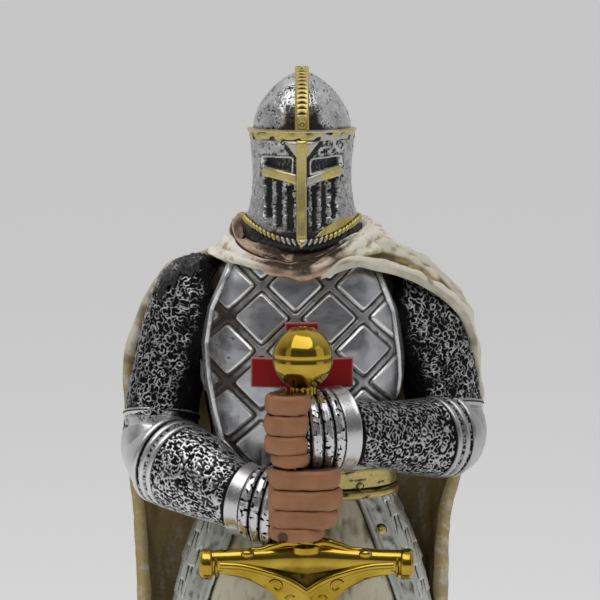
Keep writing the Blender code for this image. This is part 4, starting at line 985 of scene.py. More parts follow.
def cape():
    """Cloak from the shoulders to the ankles, its lip on the right shoulder, and the mass inside it."""
    part = Part()
    v = lines((0, 0.08, 0.45, 1), (0.006, 0.009, 0.017))[:, None]
    u = lines((-1, -0.8, 0.8, 1), (0.011, 0.020, 0.011))[None]
    outer = cape_point(u, v)
    plain = cape_point(u, v, folded=0.0)
    core = np.stack([0 * plain[..., 0], 0 * plain[..., 0], plain[..., 2]], axis=-1)
    normal = normals(plain, False, core)
    inner = plain - normal * (CAPE_THICK + 2.6 * v[..., None])
    inner[..., 2] = np.maximum(inner[..., 2], CAPE_HEM_Z)
    wrinkle = waves(outer, 9.0, 61, (1, 1, 2.5)) + 0.4 * waves(outer, 3.0, 62, (1, 1, 1.6))
    low = np.clip((235 - outer[..., 2]) / 220, 0, 1)
    deep = np.sin(9.2 * u * math.pi / 2 + 0.6 + 1.1 * low) + 0.5 * np.sin(15.7 * u * math.pi / 2 + 2.0)
    # Darker in the troughs of the folds: a brown wash with painted shade
    relief = np.clip(0.62 + 0.22 * deep + 0.12 * wrinkle, 0, 1)
    lower = rise(outer[..., 2], 246, 150)
    tone = np.clip(0.10 + 0.55 * lower - 0.15 * deep, 0, 1)
    top = outer + normal * (0.22 * wrinkle)[..., None]
    foot = inner - normal * (0.2 * waves(inner, 6.0, 63, (1, 1, 2.0)))[..., None]
    part.add(top, inside=(0, 0, 130), relief=relief, tone=tone)
    # The inside goes dark above about 190 mm, where it shows between the arms and the chest: painted shadow
    inside_relief = np.clip(0.96 + 0.12 * wrinkle - 0.2 * deep, 0, 1) * rise(outer[..., 2], 206, 186)
    inside_tone = np.clip(0.80 + 0.12 * wrinkle, 0, 1)
    part.add(foot[:, ::-1], inside=(0, 200, 130), relief=inside_relief[:, ::-1], tone=inside_tone[:, ::-1])
    rim = np.stack([border(top), border(foot)])
    rim_tone = np.clip(0.12 + 0.62 * rise(rim[..., 2], 238, 200) + 0.15 * waves(rim, 5.0, 64), 0, 1)
    part.add(rim, wrap=True, inside=(0, 12, 130), relief=0.62 - 0.2 * rim_tone, tone=rim_tone)
    shoulder_fold(part)
    lining = []
    for z in np.linspace(CAPE_HEM_Z + 0.6, SKIRT_HEM_Z + 6, 26):
        at = (CAPE_TOP_Z - z) / (CAPE_TOP_Z - CAPE_HEM_Z)
        behind = cape_point(np.linspace(-0.9, 0.9, 60), at, folded=0.0)
        lining.append(behind * (0.95, 1, 1) - (0, 4.0, 0))
    part.add(np.array(lining), wrap=True, ends=(True, True), relief=0.55, tone=0.85)
    look = cloth_paint("cape_paint", (0.84, 0.80, 0.66), (0.17, 0.115, 0.050), (0.52, 0.39, 0.17), 0.0, 0.70)
    show(part, "cape", look, "knight")


# The fold over the right shoulder: its lower edge and its top edge, as points that belong together
SHOULDER_LIP = (
    (5, -25.2, 243.4), (14.4, -22.5, 245.8), (21, -18, 244.3), (27.1, -15.5, 242.9), (32.9, -13.8, 240.6),
    (39.1, -11.5, 237.1), (44.4, -9, 232.8), (48.6, -4.5, 226.9), (50.9, 0.5, 217.8),
    (51.7, 2, 207.2), (51.5, 2.5, 196),
)
SHOULDER_TOP = (
    (8, -17, 247.5), (16, -12, 250.5), (23.3, -8, 251.6), (28.4, -5, 248.7), (33.3, -3, 247.1),
    (38.2, -1.5, 243.2), (43.2, 0, 238.3), (47.6, 2, 232.8), (50.6, 4, 221), (52.0, 5.5, 206), (52, 6, 196),
)


def shoulder_fold(part):
    """Cloth over the right shoulder: a lip, a stained groove, a second fold and the slope behind."""
    along = np.linspace(0, len(SHOULDER_LIP) - 1, 170)
    lip = smooth(np.arange(len(SHOULDER_LIP)), SHOULDER_LIP, along)
    top = smooth(np.arange(len(SHOULDER_TOP)), SHOULDER_TOP, along)
    t = np.linspace(0, 1, 46)[:, None, None]
    face = lip * (1 - t) + top * t
    w = np.linspace(0.05, 1, 12)[:, None, None]
    behind = top + w * np.array([-2.5, 12.0, 0.0]) - w**2 * np.array([0.0, 0.0, 3.5])
    sheet = np.concatenate([face, behind])
    t = np.concatenate([t, 1 + 0 * w])[..., 0]
    s = along / along[-1]
    drift = 0.05 * np.sin(9 * s) + 0.03 * np.sin(23 * s)
    far = rise(s, 0.42, 0.62)
    groove = np.exp(-(((t - 0.36 - 0.08 * far - drift) / (0.15 - 0.05 * far)) ** 2)) * (1 - 0.4 * far)
    roll = np.exp(-(((t - 0.08 - 0.06 * far) / (0.10 + 0.05 * far)) ** 2))
    second = np.exp(-(((t - 0.72 - drift) / 0.15) ** 2)) * (1 - 0.75 * far)
    dip = np.exp(-(((t - 0.93) / 0.05) ** 2)) * rise(s, 0.15, 0.3)
    broad = waves(sheet, 8.0, 66)
    down = t + 0 * s
    small = waves(np.stack([11 * down, 30 * s + 0 * down, 0 * down], axis=-1), 2.6, 67)
    height = 0.9 * roll - 1.2 * groove + 1.1 * second - 0.4 * dip + 0.12 * broad + 0.20 * small
    height = height - 2.2 * rise(s, 0.07, 0.0)
    normal = normals(sheet, False, np.array([20.0, 25.0, 222.0]))
    outer = sheet + normal * height[..., None]
    inner = sheet - normal * 2.4
    w = np.linspace(0, 1, 10)[1:-1, None, None]
    under = inner[0] * (1 - w) + outer[0] * w - np.sin(math.pi * w) * np.array([0.0, 0.0, 0.9])
    relief = 0.60 + 0.40 * roll + 0.34 * second - 0.85 * groove - 0.3 * dip + 0.20 * small + 0.05 * broad
    relief = np.where(t >= 1, 0.6, relief)
    stained = groove * rise(small + broad, -1.6, 0.4)
    tone = 0.12 - 0.2 * roll + 0.05 * broad - 0.12 * small + 0.75 * stained + 0.25 * dip
    ring = np.concatenate([under, outer, inner[::-1]])
    relief = np.concatenate([0 * under[..., 0] + 0.45, relief, 0 * inner[..., 0] + 0.3])
    tone = np.concatenate([0 * under[..., 0] + 0.2, tone, 0 * inner[..., 0] + 0.3])
    relief, tone = np.clip(relief, 0, 1).T, np.clip(tone, 0, 1).T
    part.add(ring.transpose(1, 0, 2), wrap=True, ends=(True, True), relief=relief, tone=tone)


# Torso
def torso_front(x, z):
    """Depth of the breastplate and the skirt at x and z, without the belt."""
    half = smooth(TORSO_Z, TORSO_HALF, z)
    front = smooth(TORSO_Z, TORSO_FRONT, z)
    return -front * np.clip(1 - np.abs(x / half) ** TORSO_POWER, 0, 1) ** (1 / TORSO_POWER)


RIM_LEFT = (
    (-18.0, 247.0), (-20.3, 243.6), (-25.8, 231.3), (-27.4, 221.2),
    (-26.6, 211.4), (-24.8, 201.8), (-22.8, 193.1), (-15.0, 185.0),
)
RIM_RIGHT = (
    (20.0, 247.0), (21.4, 242.2), (26.0, 230.7), (27.8, 218.3), (28.2, 211.4), (27.4, 204.7), (25.4, 193.0)
)


def quilt(x, z):
    """Distance in from the edge of the nearest pad, negative on the straps."""
    a = (x - PAD_FIRST[0]) / PAD_PITCH[0]
    b = (z - PAD_FIRST[1]) / PAD_PITCH[1]
    p = np.abs((a + b) % 1 - 0.5)
    q = np.abs((a - b) % 1 - 0.5)
    reach = (p**14 + q**14) ** (1 / 14)
    return (PAD_SHARE / 2 - reach) * PAD_CELL


def breastplate():
    """Quilted plate with its rim, closed round the back in plain black."""
    part = Part()
    z = lines((184, 246, 253), (0.40, 0.9))[:, None]
    turn = lines((-math.pi / 2, math.pi / 2), (0.0145,))[None]
    half = smooth(TORSO_Z, TORSO_HALF, z)
    x = half * np.sin(turn)
    grid = np.stack([x, torso_front(x, z), z + 0 * x], axis=-1)
    edge = quilt(x, z)
    pad = rise(edge, 0.0, 0.5)
    strap = rise(edge, -0.28, -0.5)
    rim = np.minimum(line_distance(x, z, RIM_LEFT), line_distance(x, z, RIM_RIGHT))
    band = rise(rim, 0.95, 0.55)
    plate_half = np.interp(z, (193, 204, 211, 220, 231, 243, 247), (24, 26, 28, 28.2, 26, 20.8, 18))
    beyond = rise(np.abs(x) - plate_half, 0.3, 1.0)
    dents = waves(grid, 6.5, 71)
    height = 0.95 * pad + 0.25 * rise(edge, 0.8, 4.5) + 0.5 * strap + 0.04 * dents
    height = height * (1 - rise(rim, 1.5, 1.0)) + 1.15 * band
    height = height * (1 - beyond) - 0.6 * beyond
    relief = np.clip(np.maximum(pad, 0.30 * strap) * 0.85 + 0.1, 0, 1)
    relief = relief * (1 - 0.72 * rise(x, -12, -23)) * rise(rim, 1.0, 1.35) + band
    relief = relief * (1 - beyond)
    glow = rise(edge, 0.05, 0.35) * rise(edge, 1.0, 0.55)
    glow = np.maximum(glow, 0.3 * rise(edge, -0.55, -0.8))
    part.add(
        lifted(grid, height, False, (0, 0, 220)),
        inside=(0, 0, 220),
        relief=np.clip(relief, 0, 1),
        tone=np.clip(np.maximum(glow, band * 0.8), 0, 1),
    )
    turn = np.linspace(math.pi / 2, 3 * math.pi / 2, 40)[None]
    rear = np.stack(
        [half * np.sin(turn), -smooth(TORSO_Z, TORSO_BACK, z) * np.cos(turn), z + 0 * turn],
        axis=-1,
    )
    part.add(rear[::6], inside=(0, 0, 220), relief=0.0)
    show(part, "breastplate", satin_plate(), "knight")


def cross():
    """Flat raised cross with thin pale edges, which are a painted highlight along its bevel."""
    part = Part()
    wide, tall = (-14.5, -4.8, 4.8, 14.5), (200.0, 210.0, 218.4, 228.4)
    x = lines(wide, (0.5,) * 3)
    z = lines(tall, (0.5,) * 3)
    arms = (((0, 3), (1, 2)), ((1, 2), (0, 1)), ((1, 2), (2, 3)))
    for (a, b), (c, d) in arms:
        xs = x[(x >= wide[a] - 1e-6) & (x <= wide[b] + 1e-6)][None]
        zs = z[(z >= tall[c] - 1e-6) & (z <= tall[d] + 1e-6)][:, None]
        xs, zs = xs + 0 * zs, zs + 0 * xs
        inset = np.maximum(
            np.minimum(14.5 - np.abs(xs), 4.2 - np.abs(zs - 214.2)),
            np.minimum(4.8 - np.abs(xs), 14.2 - np.abs(zs - 214.2)),
        )
        top = np.stack([xs, torso_front(xs, zs) - 1.55 - 0.35 * rise(inset, 0, 0.5), zs], axis=-1)
        foot = np.stack([xs, torso_front(xs, zs) + 0.6, zs], axis=-1)
        # The pale edges are a painted highlight
        part.plate(top, foot, tone=0.7 * rise(inset, 0.35, 0.0), side_relief=0.9)
    look = plain_paint("crimson_paint", (0.27, 0.003, 0.005), (0.17, 0.002, 0.003), 0.45, 3.0)
    look.node_tree.nodes["Principled BSDF"].inputs["Specular IOR Level"].default_value = 0.2
    show(part, "cross", look, "knight", 40)


def belt():
    """Gold belt: a flat band over a roll, with small rivets."""
    part = Part()
    turn = lines((-math.pi, -1.7, 1.7, math.pi), (0.06, 0.018, 0.06))[:-1]
    profile = ((BELT_FOOT_Z - 0.6, -1.0), (BELT_FOOT_Z - 0.4, 1.0))
    profile += ((BELT_FOOT_Z + 0.4, 1.7), (BELT_FOOT_Z + 1.4, 1.7))
    profile += ((BELT_GROOVE_Z - 0.4, 0.9), (BELT_GROOVE_Z + 0.1, 0.3), (BELT_GROOVE_Z + 0.5, 1.3))
    profile += ((BELT_TOP_Z - 0.6, 1.45), (BELT_TOP_Z - 0.5, 1.65))
    profile += ((BELT_TOP_Z, 1.6), (BELT_TOP_Z + 0.3, -1.0))
    rings, deep = [], []
    for (z0, g0), (z1, g1) in zip(profile[:-1], profile[1:]):
        for t in (0.0, 0.25, 0.5, 0.75):
            z = z0 + (z1 - z0) * t
            grow = g0 + (g1 - g0) * t
            half = smooth(TORSO_Z, TORSO_HALF, z) + grow
            front = smooth(TORSO_Z, TORSO_FRONT, z) + grow
            back = smooth(TORSO_Z, TORSO_BACK, z)
            c, s = rounded(turn - math.pi / 2, TORSO_POWER)
            rings.append(np.stack([half * c, np.where(s < 0, front, back) * s, z + 0 * c], axis=-1))
            deep.append(rise(grow, 0.3, 1.2))
    grid = np.array(rings)
    scuff = waves(grid, 2.2, 72, (3, 3, 1))
    relief = np.array(deep)[:, None] * (0.78 - 0.40 * rise(scuff, 0.2, 1.6))
    part.add(grid, wrap=True, relief=relief, tone=0.15 + 0.15 * rise(scuff, 0.2, 1.5))
    for x in (-16.5, 16.5):
        surface = torso_front(np.array(x), np.array(181.0)) - 1.4
        rivet(part, (x, surface, 180.9), 1.0)
    show(part, "belt", painted_gold(), "knight", 50)


def rivet(part, centre, radius):
    """Domed rivet in a dark ring, facing the viewer."""
    outward = np.array([centre[0] * 0.03, -1.0, 0.1])
    ring = turned(((-0.8, radius * 1.35), (0.12, radius * 1.35), (0.12, radius)), centre, outward, 18, 0.4)
    part.add(ring, wrap=True, ends=(True, True), relief=0.0)
    profile = [(0.0, radius)]
    profile += [(0.1 + radius * 0.75 * math.sin(a), radius * math.cos(a)) for a in (0.3, 0.6, 0.9, 1.2, 1.5)]
    part.add(turned(profile, centre, outward, 18, 0.5), wrap=True, ends=(True, True))


# Skirt
def skirt_edges(z):
    """Distance from the middle to the inner and outer edge of the skirt's bands."""
    inner = smooth((91, 120, 149.6, 164.3, 177.5), (29.5, 28.8, 26.0, 20.3, 15.3), z)
    return inner, inner + 6.8


def skirt():
    """Cream middle panel, silver bands with rivets, and plates of overlapping scales outside."""
    cloth, plates = Part(), Part()
    z = lines((177.5, 145, SKIRT_HEM_Z), (0.5, 1.1))[:, None]
    half = smooth(TORSO_Z, TORSO_HALF, z)
    inner, outer = skirt_edges(z)
    u = np.linspace(-1, 1, 70)[None]
    x = inner * u
    panel = np.stack([x, torso_front(x, z), z + 0 * x], axis=-1)
    brushed = waves(panel, 2.0, 73, (1, 1, 4)) + 0.5 * waves(panel, 7.0, 74)
    near = inner - np.abs(x)
    relief = np.clip(0.72 + 0.16 * brushed - 0.7 * rise(near, 0.7, 0.0), 0, 1)
    cloth.add(lifted(panel, 0.08 * brushed, False, (0, 0, 130)), inside=(0, 0, 130), relief=relief)
    look = cloth_paint("tabard_paint", (0.70, 0.66, 0.50), (0.24, 0.21, 0.13), (0.12, 0.09, 0.04), 0.2, 0.8)
    show(cloth, "tabard", look, "knight")
    for side in (-1, 1):
        v = np.linspace(0, 1, 22)[None]
        x = side * (inner + (outer - inner) * v)
        band = np.stack([x, torso_front(x, z) + 0.0 * x, z + 0 * x], axis=-1)
        ridge = np.maximum(rise(np.abs(v - 0.10), 0.09, 0.03), rise(np.abs(v - 0.90), 0.09, 0.03))
        ridge = np.maximum(ridge, 0.8 * rise(np.abs(v - 0.30), 0.05, 0.02)) + 0 * z
        height = 0.95 + 0.4 * ridge
        height = height * np.minimum(rise(v, -0.02, 0.04), rise(v, 1.02, 0.96))
        shade = np.clip(0.55 + 0.5 * ridge + 0.12 * waves(band, 3.0, 75), 0, 1) * rise(height, 0.1, 0.8)
        plates.add(lifted(band, height, False, (0, 0, 130)), inside=(0, 0, 130), relief=shade, tone=0.25)
        hip_plate(plates, side, z, outer, half)
    rear_turn = np.linspace(math.pi / 2, 3 * math.pi / 2, 50)[None]
    rear = np.stack(
        [half * np.sin(rear_turn), -smooth(TORSO_Z, TORSO_BACK, z) * np.cos(rear_turn), z + 0 * rear_turn],
        axis=-1,
    )
    plates.add(rear[::5], inside=(0, 0, 130), relief=0.3, tone=0.5)
    look = washed_silver("skirt_silver", (0.72, 0.73, 0.67), 0.08, 0.75, 0.42)
    show(plates, "skirt_plates", look, "knight")
    skirt_rivets()


# Width and height of one scale
SCALE_PITCH = (7.6, 9.5)


def hip_plate(part, side, z, outer, half):
    """Overlapping pointed scales beside the band."""
    turn_in = np.arcsin(np.clip(outer / half, 0, 0.999))
    v = np.linspace(0, 1, 92)[None]
    turn = turn_in + (math.pi / 2 - turn_in) * v
    x = side * half * np.sin(turn)
    grid = np.stack([x, torso_front(x, z), z + 0 * x], axis=-1)
    along = np.abs(x) * 0.9 - np.abs(grid[..., 1]) * 0.5
    across = along / SCALE_PITCH[0]
    down = -z / SCALE_PITCH[1] + 0.03 * waves(grid, 12.0, 78)
    first = scale_height(across, down)
    second = scale_height(across + 0.5, down + 0.5)
    scales = np.maximum(first, second)
    seam = rise(np.abs(first - second), 0.16, 0.04)
    height = 1.1 * scales - 0.30 * seam + 0.03 * waves(grid, 2.0, 76)
    relief = np.clip(0.34 + 0.55 * scales - 0.70 * seam + 0.05 * waves(grid, 3.0, 77), 0, 1)
    part.add(lifted(grid, height, False, (0, 0, 130)), inside=(0, 0, 130), relief=relief, tone=0.15)


def scale_height(across, down):
    """Height of one set of scales: each rises to a ridge in its middle and to its pointed foot."""
    a = np.abs(across % 1 - 0.5) * 2
    d = down % 1
    return (1 - a) * 0.45 + 0.55 * d * rise(a + d * 0.6, 1.5, 1.1)

def skirt_rivets():
    """Gold rivets down the middle of each band."""
    part = Part()
    for side in (-1, 1):
        for z in (168.9 - 1.1 * side, 155.2, 139.0, 124.0, 109.0, 96.0):
            inner, outer = skirt_edges(np.array(z))
            x = side * float(inner * 0.45 + outer * 0.55)
            y = float(torso_front(np.array(x), np.array(z))) - 1.2
            rivet(part, (x, y, z), 1.45)
    show(part, "skirt_rivets", painted_gold(), "knight")


# Arms
UPPER_ARMS = (
    ((-25, 0, 243, 5, 5), (-28.2, 1, 237.5, 11, 11.5), (-33, 2, 226, 12.4, 12.6),
     (-38, 2, 214, 10.4, 11.6), (-40.4, 1, 203, 10.4, 11), (-42.5, 0, 190, 9.8, 10.5)),
    ((27, 0, 240, 5, 5), (30.0, 0, 235, 9.5, 10.0), (34.9, 1, 226, 11.4, 11.6),
     (39.4, 2, 214, 10.8, 11.8), (41.2, 1, 203, 10.6, 11), (43.5, 0, 192, 9.8, 10.5)),
)
LOWER_ARMS = (
    ((-44, 3, 188.5, 8, 8), (-41, -4, 187, 11.6, 11.8), (-30, -15, 183.5, 12.2, 12.0),
     (-20, -24, 179.4, 9.4, 9.4), (-12, -32, 177.4, 8.2, 8.4)),
    ((46, 3, 193, 8, 8), (43, -3, 193.5, 11.2, 11.6), (34, -11, 193.8, 11.0, 11.0),
     (25, -20, 195.6, 9.4, 9.6), (12, -32, 198.3, 8.2, 9.0)),
)
ELBOW_CAPS = (((-42.6, 0.0, 190.0), (10.2, 12.4, 12.5)), ((44.2, 0.0, 194.0), (9.6, 12.4, 12.5)))
ELBOW_RIMS = (((-41.0, 0.5, 197.6), (0.05, 0.30, 1)), ((41.8, 0.5, 200.6), (-0.05, 0.25, 1)))
ELBOW_RIDGES = (
    ((-37.0, -9.5, 186.0), (0.7, -0.71, -0.22), 12.9),
    ((39.5, -7.0, 193.6), (-0.72, -0.69, 0), 12.1),
)

MAIL_PITCH = 1.45


def mail_map(rows, cols, cell, seed):
    """Curls of wire strewn in rough rows, as heights from 0 to 1 that join up across the columns."""
    draw = np.random.default_rng(seed)
    height = np.zeros((rows, cols))
    reach = int(2.4 / cell)
    window = np.arange(-reach, reach + 1)
    for v in np.arange(0.8, rows * cell, MAIL_PITCH):
        for u in np.arange(0.0, cols * cell, MAIL_PITCH):
            cv = v + draw.normal(0, 0.36)
            cu = u + draw.normal(0, 0.36)
            i, j = int(cv / cell) + window[:, None], int(cu / cell) + window[None]
            dv, du = i * cell - cv, j * cell - cu
            curl = curl_height(du, dv, draw)
            fits = (i[:, 0] >= 0) & (i[:, 0] < rows)
            place = (i[fits], j % cols)
            height[place] = np.maximum(height[place], curl[fits])
    return height


def curl_height(du, dv, draw):
    """One curl of wire: an open ring, or a short wave. Some stand higher than others."""
    radius = draw.uniform(0.50, 0.85)
    start = draw.uniform(0, 2 * math.pi)
    span = math.radians(draw.uniform(130, 285))
    strength = draw.uniform(0.5, 1.0)
    squash = draw.uniform(0.7, 1.0)
    thick = draw.uniform(0.26, 0.36)
    waved = draw.uniform() < 0.4
    if waved:
        tilt = draw.normal(math.pi / 2, 0.7)
        along = du * math.cos(tilt) + dv * math.sin(tilt)
        across = -du * math.sin(tilt) + dv * math.cos(tilt)
        bend = 0.42 * np.sin(along * 2.3 + start)
        away = np.hypot(across - bend, np.maximum(np.abs(along) - 1.4, 0))
    else:
        angle = (np.arctan2(dv, du * squash) - start) % (2 * math.pi)
        inside = angle <= span
        tips = [
            np.hypot(du * squash - radius * math.cos(start + e), dv - radius * math.sin(start + e))
            for e in (0.0, span)
        ]
        ring = np.abs(np.hypot(du * squash, dv) - radius)
        away = np.where(inside, ring, np.minimum(tips[0], tips[1]))
    return strength * rise(away, thick, 0.04)


def sleeves():
    """Mail of both upper arms."""
    for n, (name, path) in enumerate(zip(("mail_left", "mail_right"), UPPER_ARMS)):
        part = Part()
        cell = 0.25
        girth = 2 * math.pi * 11.0
        grid = sweep(path, cell, int(girth / cell), (0, 1, 0))
        rows, cols = grid.shape[:2]
        curls = mail_map(rows, cols, cell, 81 + n)
        x, z = grid[..., 0], grid[..., 2]
        outer = np.abs(x)
        # The silver is darker on the side towards the chest, partly painted shade and partly less silver
        # brushed on, and varies in patches
        near_chest = rise(outer - np.interp(z, (190, 205, 220, 235), (33.5, 32.5, 28.5, 25)), 6.5, 0.5)
        patch = waves(grid, 6.0, 85 + n)
        # On the right arm the mail under the shoulder fold is darkened as painted shade, so silver stays on a
        # slanting band
        slant = n * rise(z + 0.9 * (outer - 34), 236, 242)
        lit_and_brushed = np.clip(1 - 1.0 * near_chest + 0.15 * patch - 0.7 * slant, 0, 1)
        height = 0.50 * curls + 0.12 * waves(grid, 5.0, 83 + n)
        relief = np.clip(curls * (0.05 + 0.95 * lit_and_brushed), 0, 1)
        grid = lifted(grid, height - 0.1, True)
        # Tone dims the silver towards the chest, partly as painted shade
        part.add(grid, wrap=True, ends=(True, True), relief=relief, tone=0.6 * near_chest)
        look = washed_silver(f"{name}_paint", (0.70, 0.70, 0.70), 0.22, 0.92, 0.30)
        show(part, name, look, "knight")


def maze(grid, wave, seed):
    """Thin winding raised lines on a sunk ground, as heights from 0 to 1."""
    field = waves(grid, wave, seed)
    broken = rise(waves(grid, wave * 1.6, seed + 60), -1.7, -1.2)
    return rise(np.abs(field), 0.70, 0.28) * broken


def eyelets(grid, field, seed, count, size=(0.95, 1.4), apart=3.6):
    """Small rings with a dark middle and a dark line round them, set into a relief."""
    draw = np.random.default_rng(seed)
    flat = grid.reshape(-1, 3)
    chosen = []
    for pick in draw.integers(0, len(flat), 6000):
        place = flat[pick]
        if all(np.linalg.norm(place - other) > apart for other in chosen):
            chosen.append(place)
        if len(chosen) == count:
            break
    field = field.ravel().copy()
    for place in chosen:
        radius = draw.uniform(*size)
        near = np.flatnonzero(np.abs(flat - place).max(axis=1) < radius * 1.7)
        away = np.linalg.norm(flat[near] - place, axis=1) / radius
        ring = rise(away, 0.28, 0.46) * rise(away, 1.05, 0.9)
        keep = rise(away, 1.15, 1.4)
        field[near] = field[near] * keep + ring
    return np.clip(field, 0, 1).reshape(grid.shape[:-1])


def forearms():
    """Forearms with their winding relief, elbow caps, rims and ridges."""
    for n, name in enumerate(("forearm_left", "forearm_right")):
        part = Part()
        cell = 0.32
        grid = sweep(LOWER_ARMS[n], cell, int(2 * math.pi * 10.8 / cell), (0, 0, 1))
        lines_share = maze(grid, 1.75, 91 + n)
        mid_grey = (0.22, 0.08)[n] * rise(waves(grid, 5.0, 97 + n), -1.2, 1.0)
        field = eyelets(grid, mid_grey + (1 - mid_grey) * lines_share, 93 + n, 30, (0.85, 1.3), 4.2)
        # The forearm is blackened where it goes into the cuff: painted shade
        start, ahead = (np.array(point) for point in CUFFS[n][0][:2])
        toward = (ahead - start) / np.linalg.norm(ahead - start)
        field = field * (1 - rise((grid - start) @ toward, -2.6, -1.6))
        centre, axis, _ = ELBOW_RIDGES[n]
        behind = rise((grid - centre) @ np.asarray(axis), -3.6, -4.2)
        field = field * (1 - behind) + 0.95 * behind
        height = (0.34 * field - 0.12) * (1 - behind) - 0.6 * behind
        part.add(lifted(grid, height, True), wrap=True, ends=(True, True), relief=field)
        elbow(part, n)
        look = washed_silver(f"{name}_paint", ((0.72, 0.72, 0.73), (0.50, 0.50, 0.51))[n], 0.12, 0.85, 0.30)
        show(part, name, look, "knight")


def elbow(part, n):
    """Smooth cap, rolled rim and the three ridges of one elbow."""
    centre, halves = ELBOW_CAPS[n]
    cap = ball(centre, halves, 64, 42)
    # The cap is darkened on its upper side towards the chest, under the sleeve: painted shade
    dimming_and_shade = rise(np.abs(cap[..., 0]), 38, 34) * rise(cap[..., 2], 190, 194)
    cap = lifted(cap, 0.05 * waves(cap, 3.0, 95 + n), True)
    part.add(cap, wrap=True, ends=(True, True), relief=0.95 - 0.8 * dimming_and_shade)
    centre, axis = ELBOW_RIMS[n]
    profile = [(-5.5, 9.6), (-3.2, 10.5), (-0.9, 10.9)]
    profile += [(-0.4, 10.7), (0.2, 10.9), (0.7, 11.3), (1.3, 11.3), (1.7, 10.9), (1.9, 9.2)]
    rim = turned(profile, centre, axis, 96, 0.36)
    shade = np.linspace(0, 1, len(rim))[:, None]
    relief = 0.95 - 0.7 * rise(np.abs(shade - 0.68), 0.05, 0.02)
    # The rim is darkened on the side towards the chest: painted shade
    inward_shade = rise(np.abs(rim[..., 0]), 40.0, 35.0) * (0.6 + 0.4 * (shade < 0.7))
    part.add(rim, wrap=True, ends=(True, True), relief=relief * (1 - 0.85 * inward_shade))
    centre, axis, radius = ELBOW_RIDGES[n]
    axis = np.asarray(axis) / np.linalg.norm(axis)
    for k in (-1, 0, 1):
        place = np.asarray(centre) + axis * 2.9 * k
        size = radius - 0.25 * k
        profile = [(-1.9, size - 1.6), (-1.5, size - 1.0)]
        for a in np.linspace(0, math.pi, 9):
            profile.append((-1.0 * math.cos(a), size - 0.55 + 0.75 * math.sin(a)))
        profile += [(1.5, size - 1.0), (1.9, size - 1.6)]
        sides = 126
        ridge = turned(profile, place, axis, sides, 0.3)
        along = ((ridge - place) @ axis)
        crest_share = rise(np.abs(along), 1.10, 0.75)
        around_it = around(sides)
        dashes = rise(np.sin(34 * around_it + 3 * np.sin(5 * around_it)), -0.3, 0.2) * rise(along, 0.7, 1.0)
        relief = np.maximum(crest_share, 0.75 * dashes * (k == 0))
        part.add(ridge, wrap=True, ends=(True, True), relief=np.clip(relief, 0, 1))


# Path, length of the flange, and radius at the flange and at the hand, of both cuffs
CUFFS = (
    (((-17.0, -27.6, 178.8), (-12.4, -30.1, 177.9), (-8.4, -31.4, 177.2), (-1.4, -32.2, 176.1)),
     4.2, 9.9, 11.3),
    (((11.6, -29.5, 199.0), (6.6, -32.0, 198.8), (1.6, -33.6, 198.5), (-5.4, -34.4, 198.1)),
     4.6, 11.7, 12.0),
)
CUFF_BAND = 2.5


def cuff_profile(flange, first, last):
    """Flange, three raised bands and a stippled end, by distance along and radius."""
    profile = [(0.0, 7.5), (0.1, first + 0.3), (0.5, first + 0.7), (1.6, first + 0.4), (flange - 0.2, first)]
    profile += [(flange, first - 0.7)]
    for k in range(3):
        at = flange + 0.15 + CUFF_BAND * k
        wide = first + (last - first) * (k + 1) / 3
        profile += [(at, wide - 0.1), (at + 0.35, wide + 0.4)]
        profile += [(at + 1.55, wide + 0.4), (at + 1.9, wide - 0.1)]
        profile += [(at + 2.0, wide - 0.7)]
    end = flange + 3 * CUFF_BAND
    profile += [(end + 0.1, last - 0.2), (end + 2.6, last - 0.3), (end + 3.0, last - 1.2), (end + 3.2, 7.0)]
    return profile, end


def cuffs():
    """Flanged gauntlet cuffs, each with three raised bands and a stippled dark end."""
    part = Part()
    for n, (path, flange, first, last) in enumerate(CUFFS):
        profile, end = cuff_profile(flange, first, last)
        grid, along, radius = bent(profile, path, 146, 0.29)
        along, radius = along[:, None], radius[:, None]
        blots = waves(grid, 1.6, 101 + n)
        on_bands = rise(along, flange - 0.1, flange + 0.3)
        level = first + (last - first) * np.clip((along - flange) / (3 * CUFF_BAND) + 0.2, 0, 1)
        relief = rise(radius - level, -0.45, -0.05) + 0 * blots
        relief = relief * (1 - 0.9 * rise(blots, 0.75, 1.15) * on_bands)
        stipple = rise(waves(grid, 1.0, 103 + n), 0.2, 0.8)
        tip = rise(along, end, end + 0.2)
        relief = relief * (1 - tip) + tip * 0.85 * stipple
        grid = lifted(grid, 0.05 * blots * on_bands, True)
        part.add(grid, wrap=True, ends=(True, True), relief=np.clip(relief, 0, 1))
    show(part, "cuffs", washed_silver("cuff_paint", (0.66, 0.66, 0.67), 0.3, 0.6, 0.26), "knight")


# Bend of a finger seen from above, from the cuff round the grip, and how far each finger reaches
UPPER_BEND = ((0.8, 3.0), (0.6, -3.0), (-1.2, -7.9), (-5.4, -7.2), (-7.0, -2.4), (-5.4, 2.0))
LOWER_BEND = ((8.6, -1.6), (7.2, -6.6), (0.6, -8.2), (-5.4, -7.2), (-7.0, -2.4), (-5.4, 2.0))
FINGERS = (
    (UPPER_FIST, 1, UPPER_BEND, (0.0, 0.2, 0.1, -1.7)),
    (LOWER_FIST, -1, LOWER_BEND, (-0.5, 0.1, -1.2, -5.0)),
)


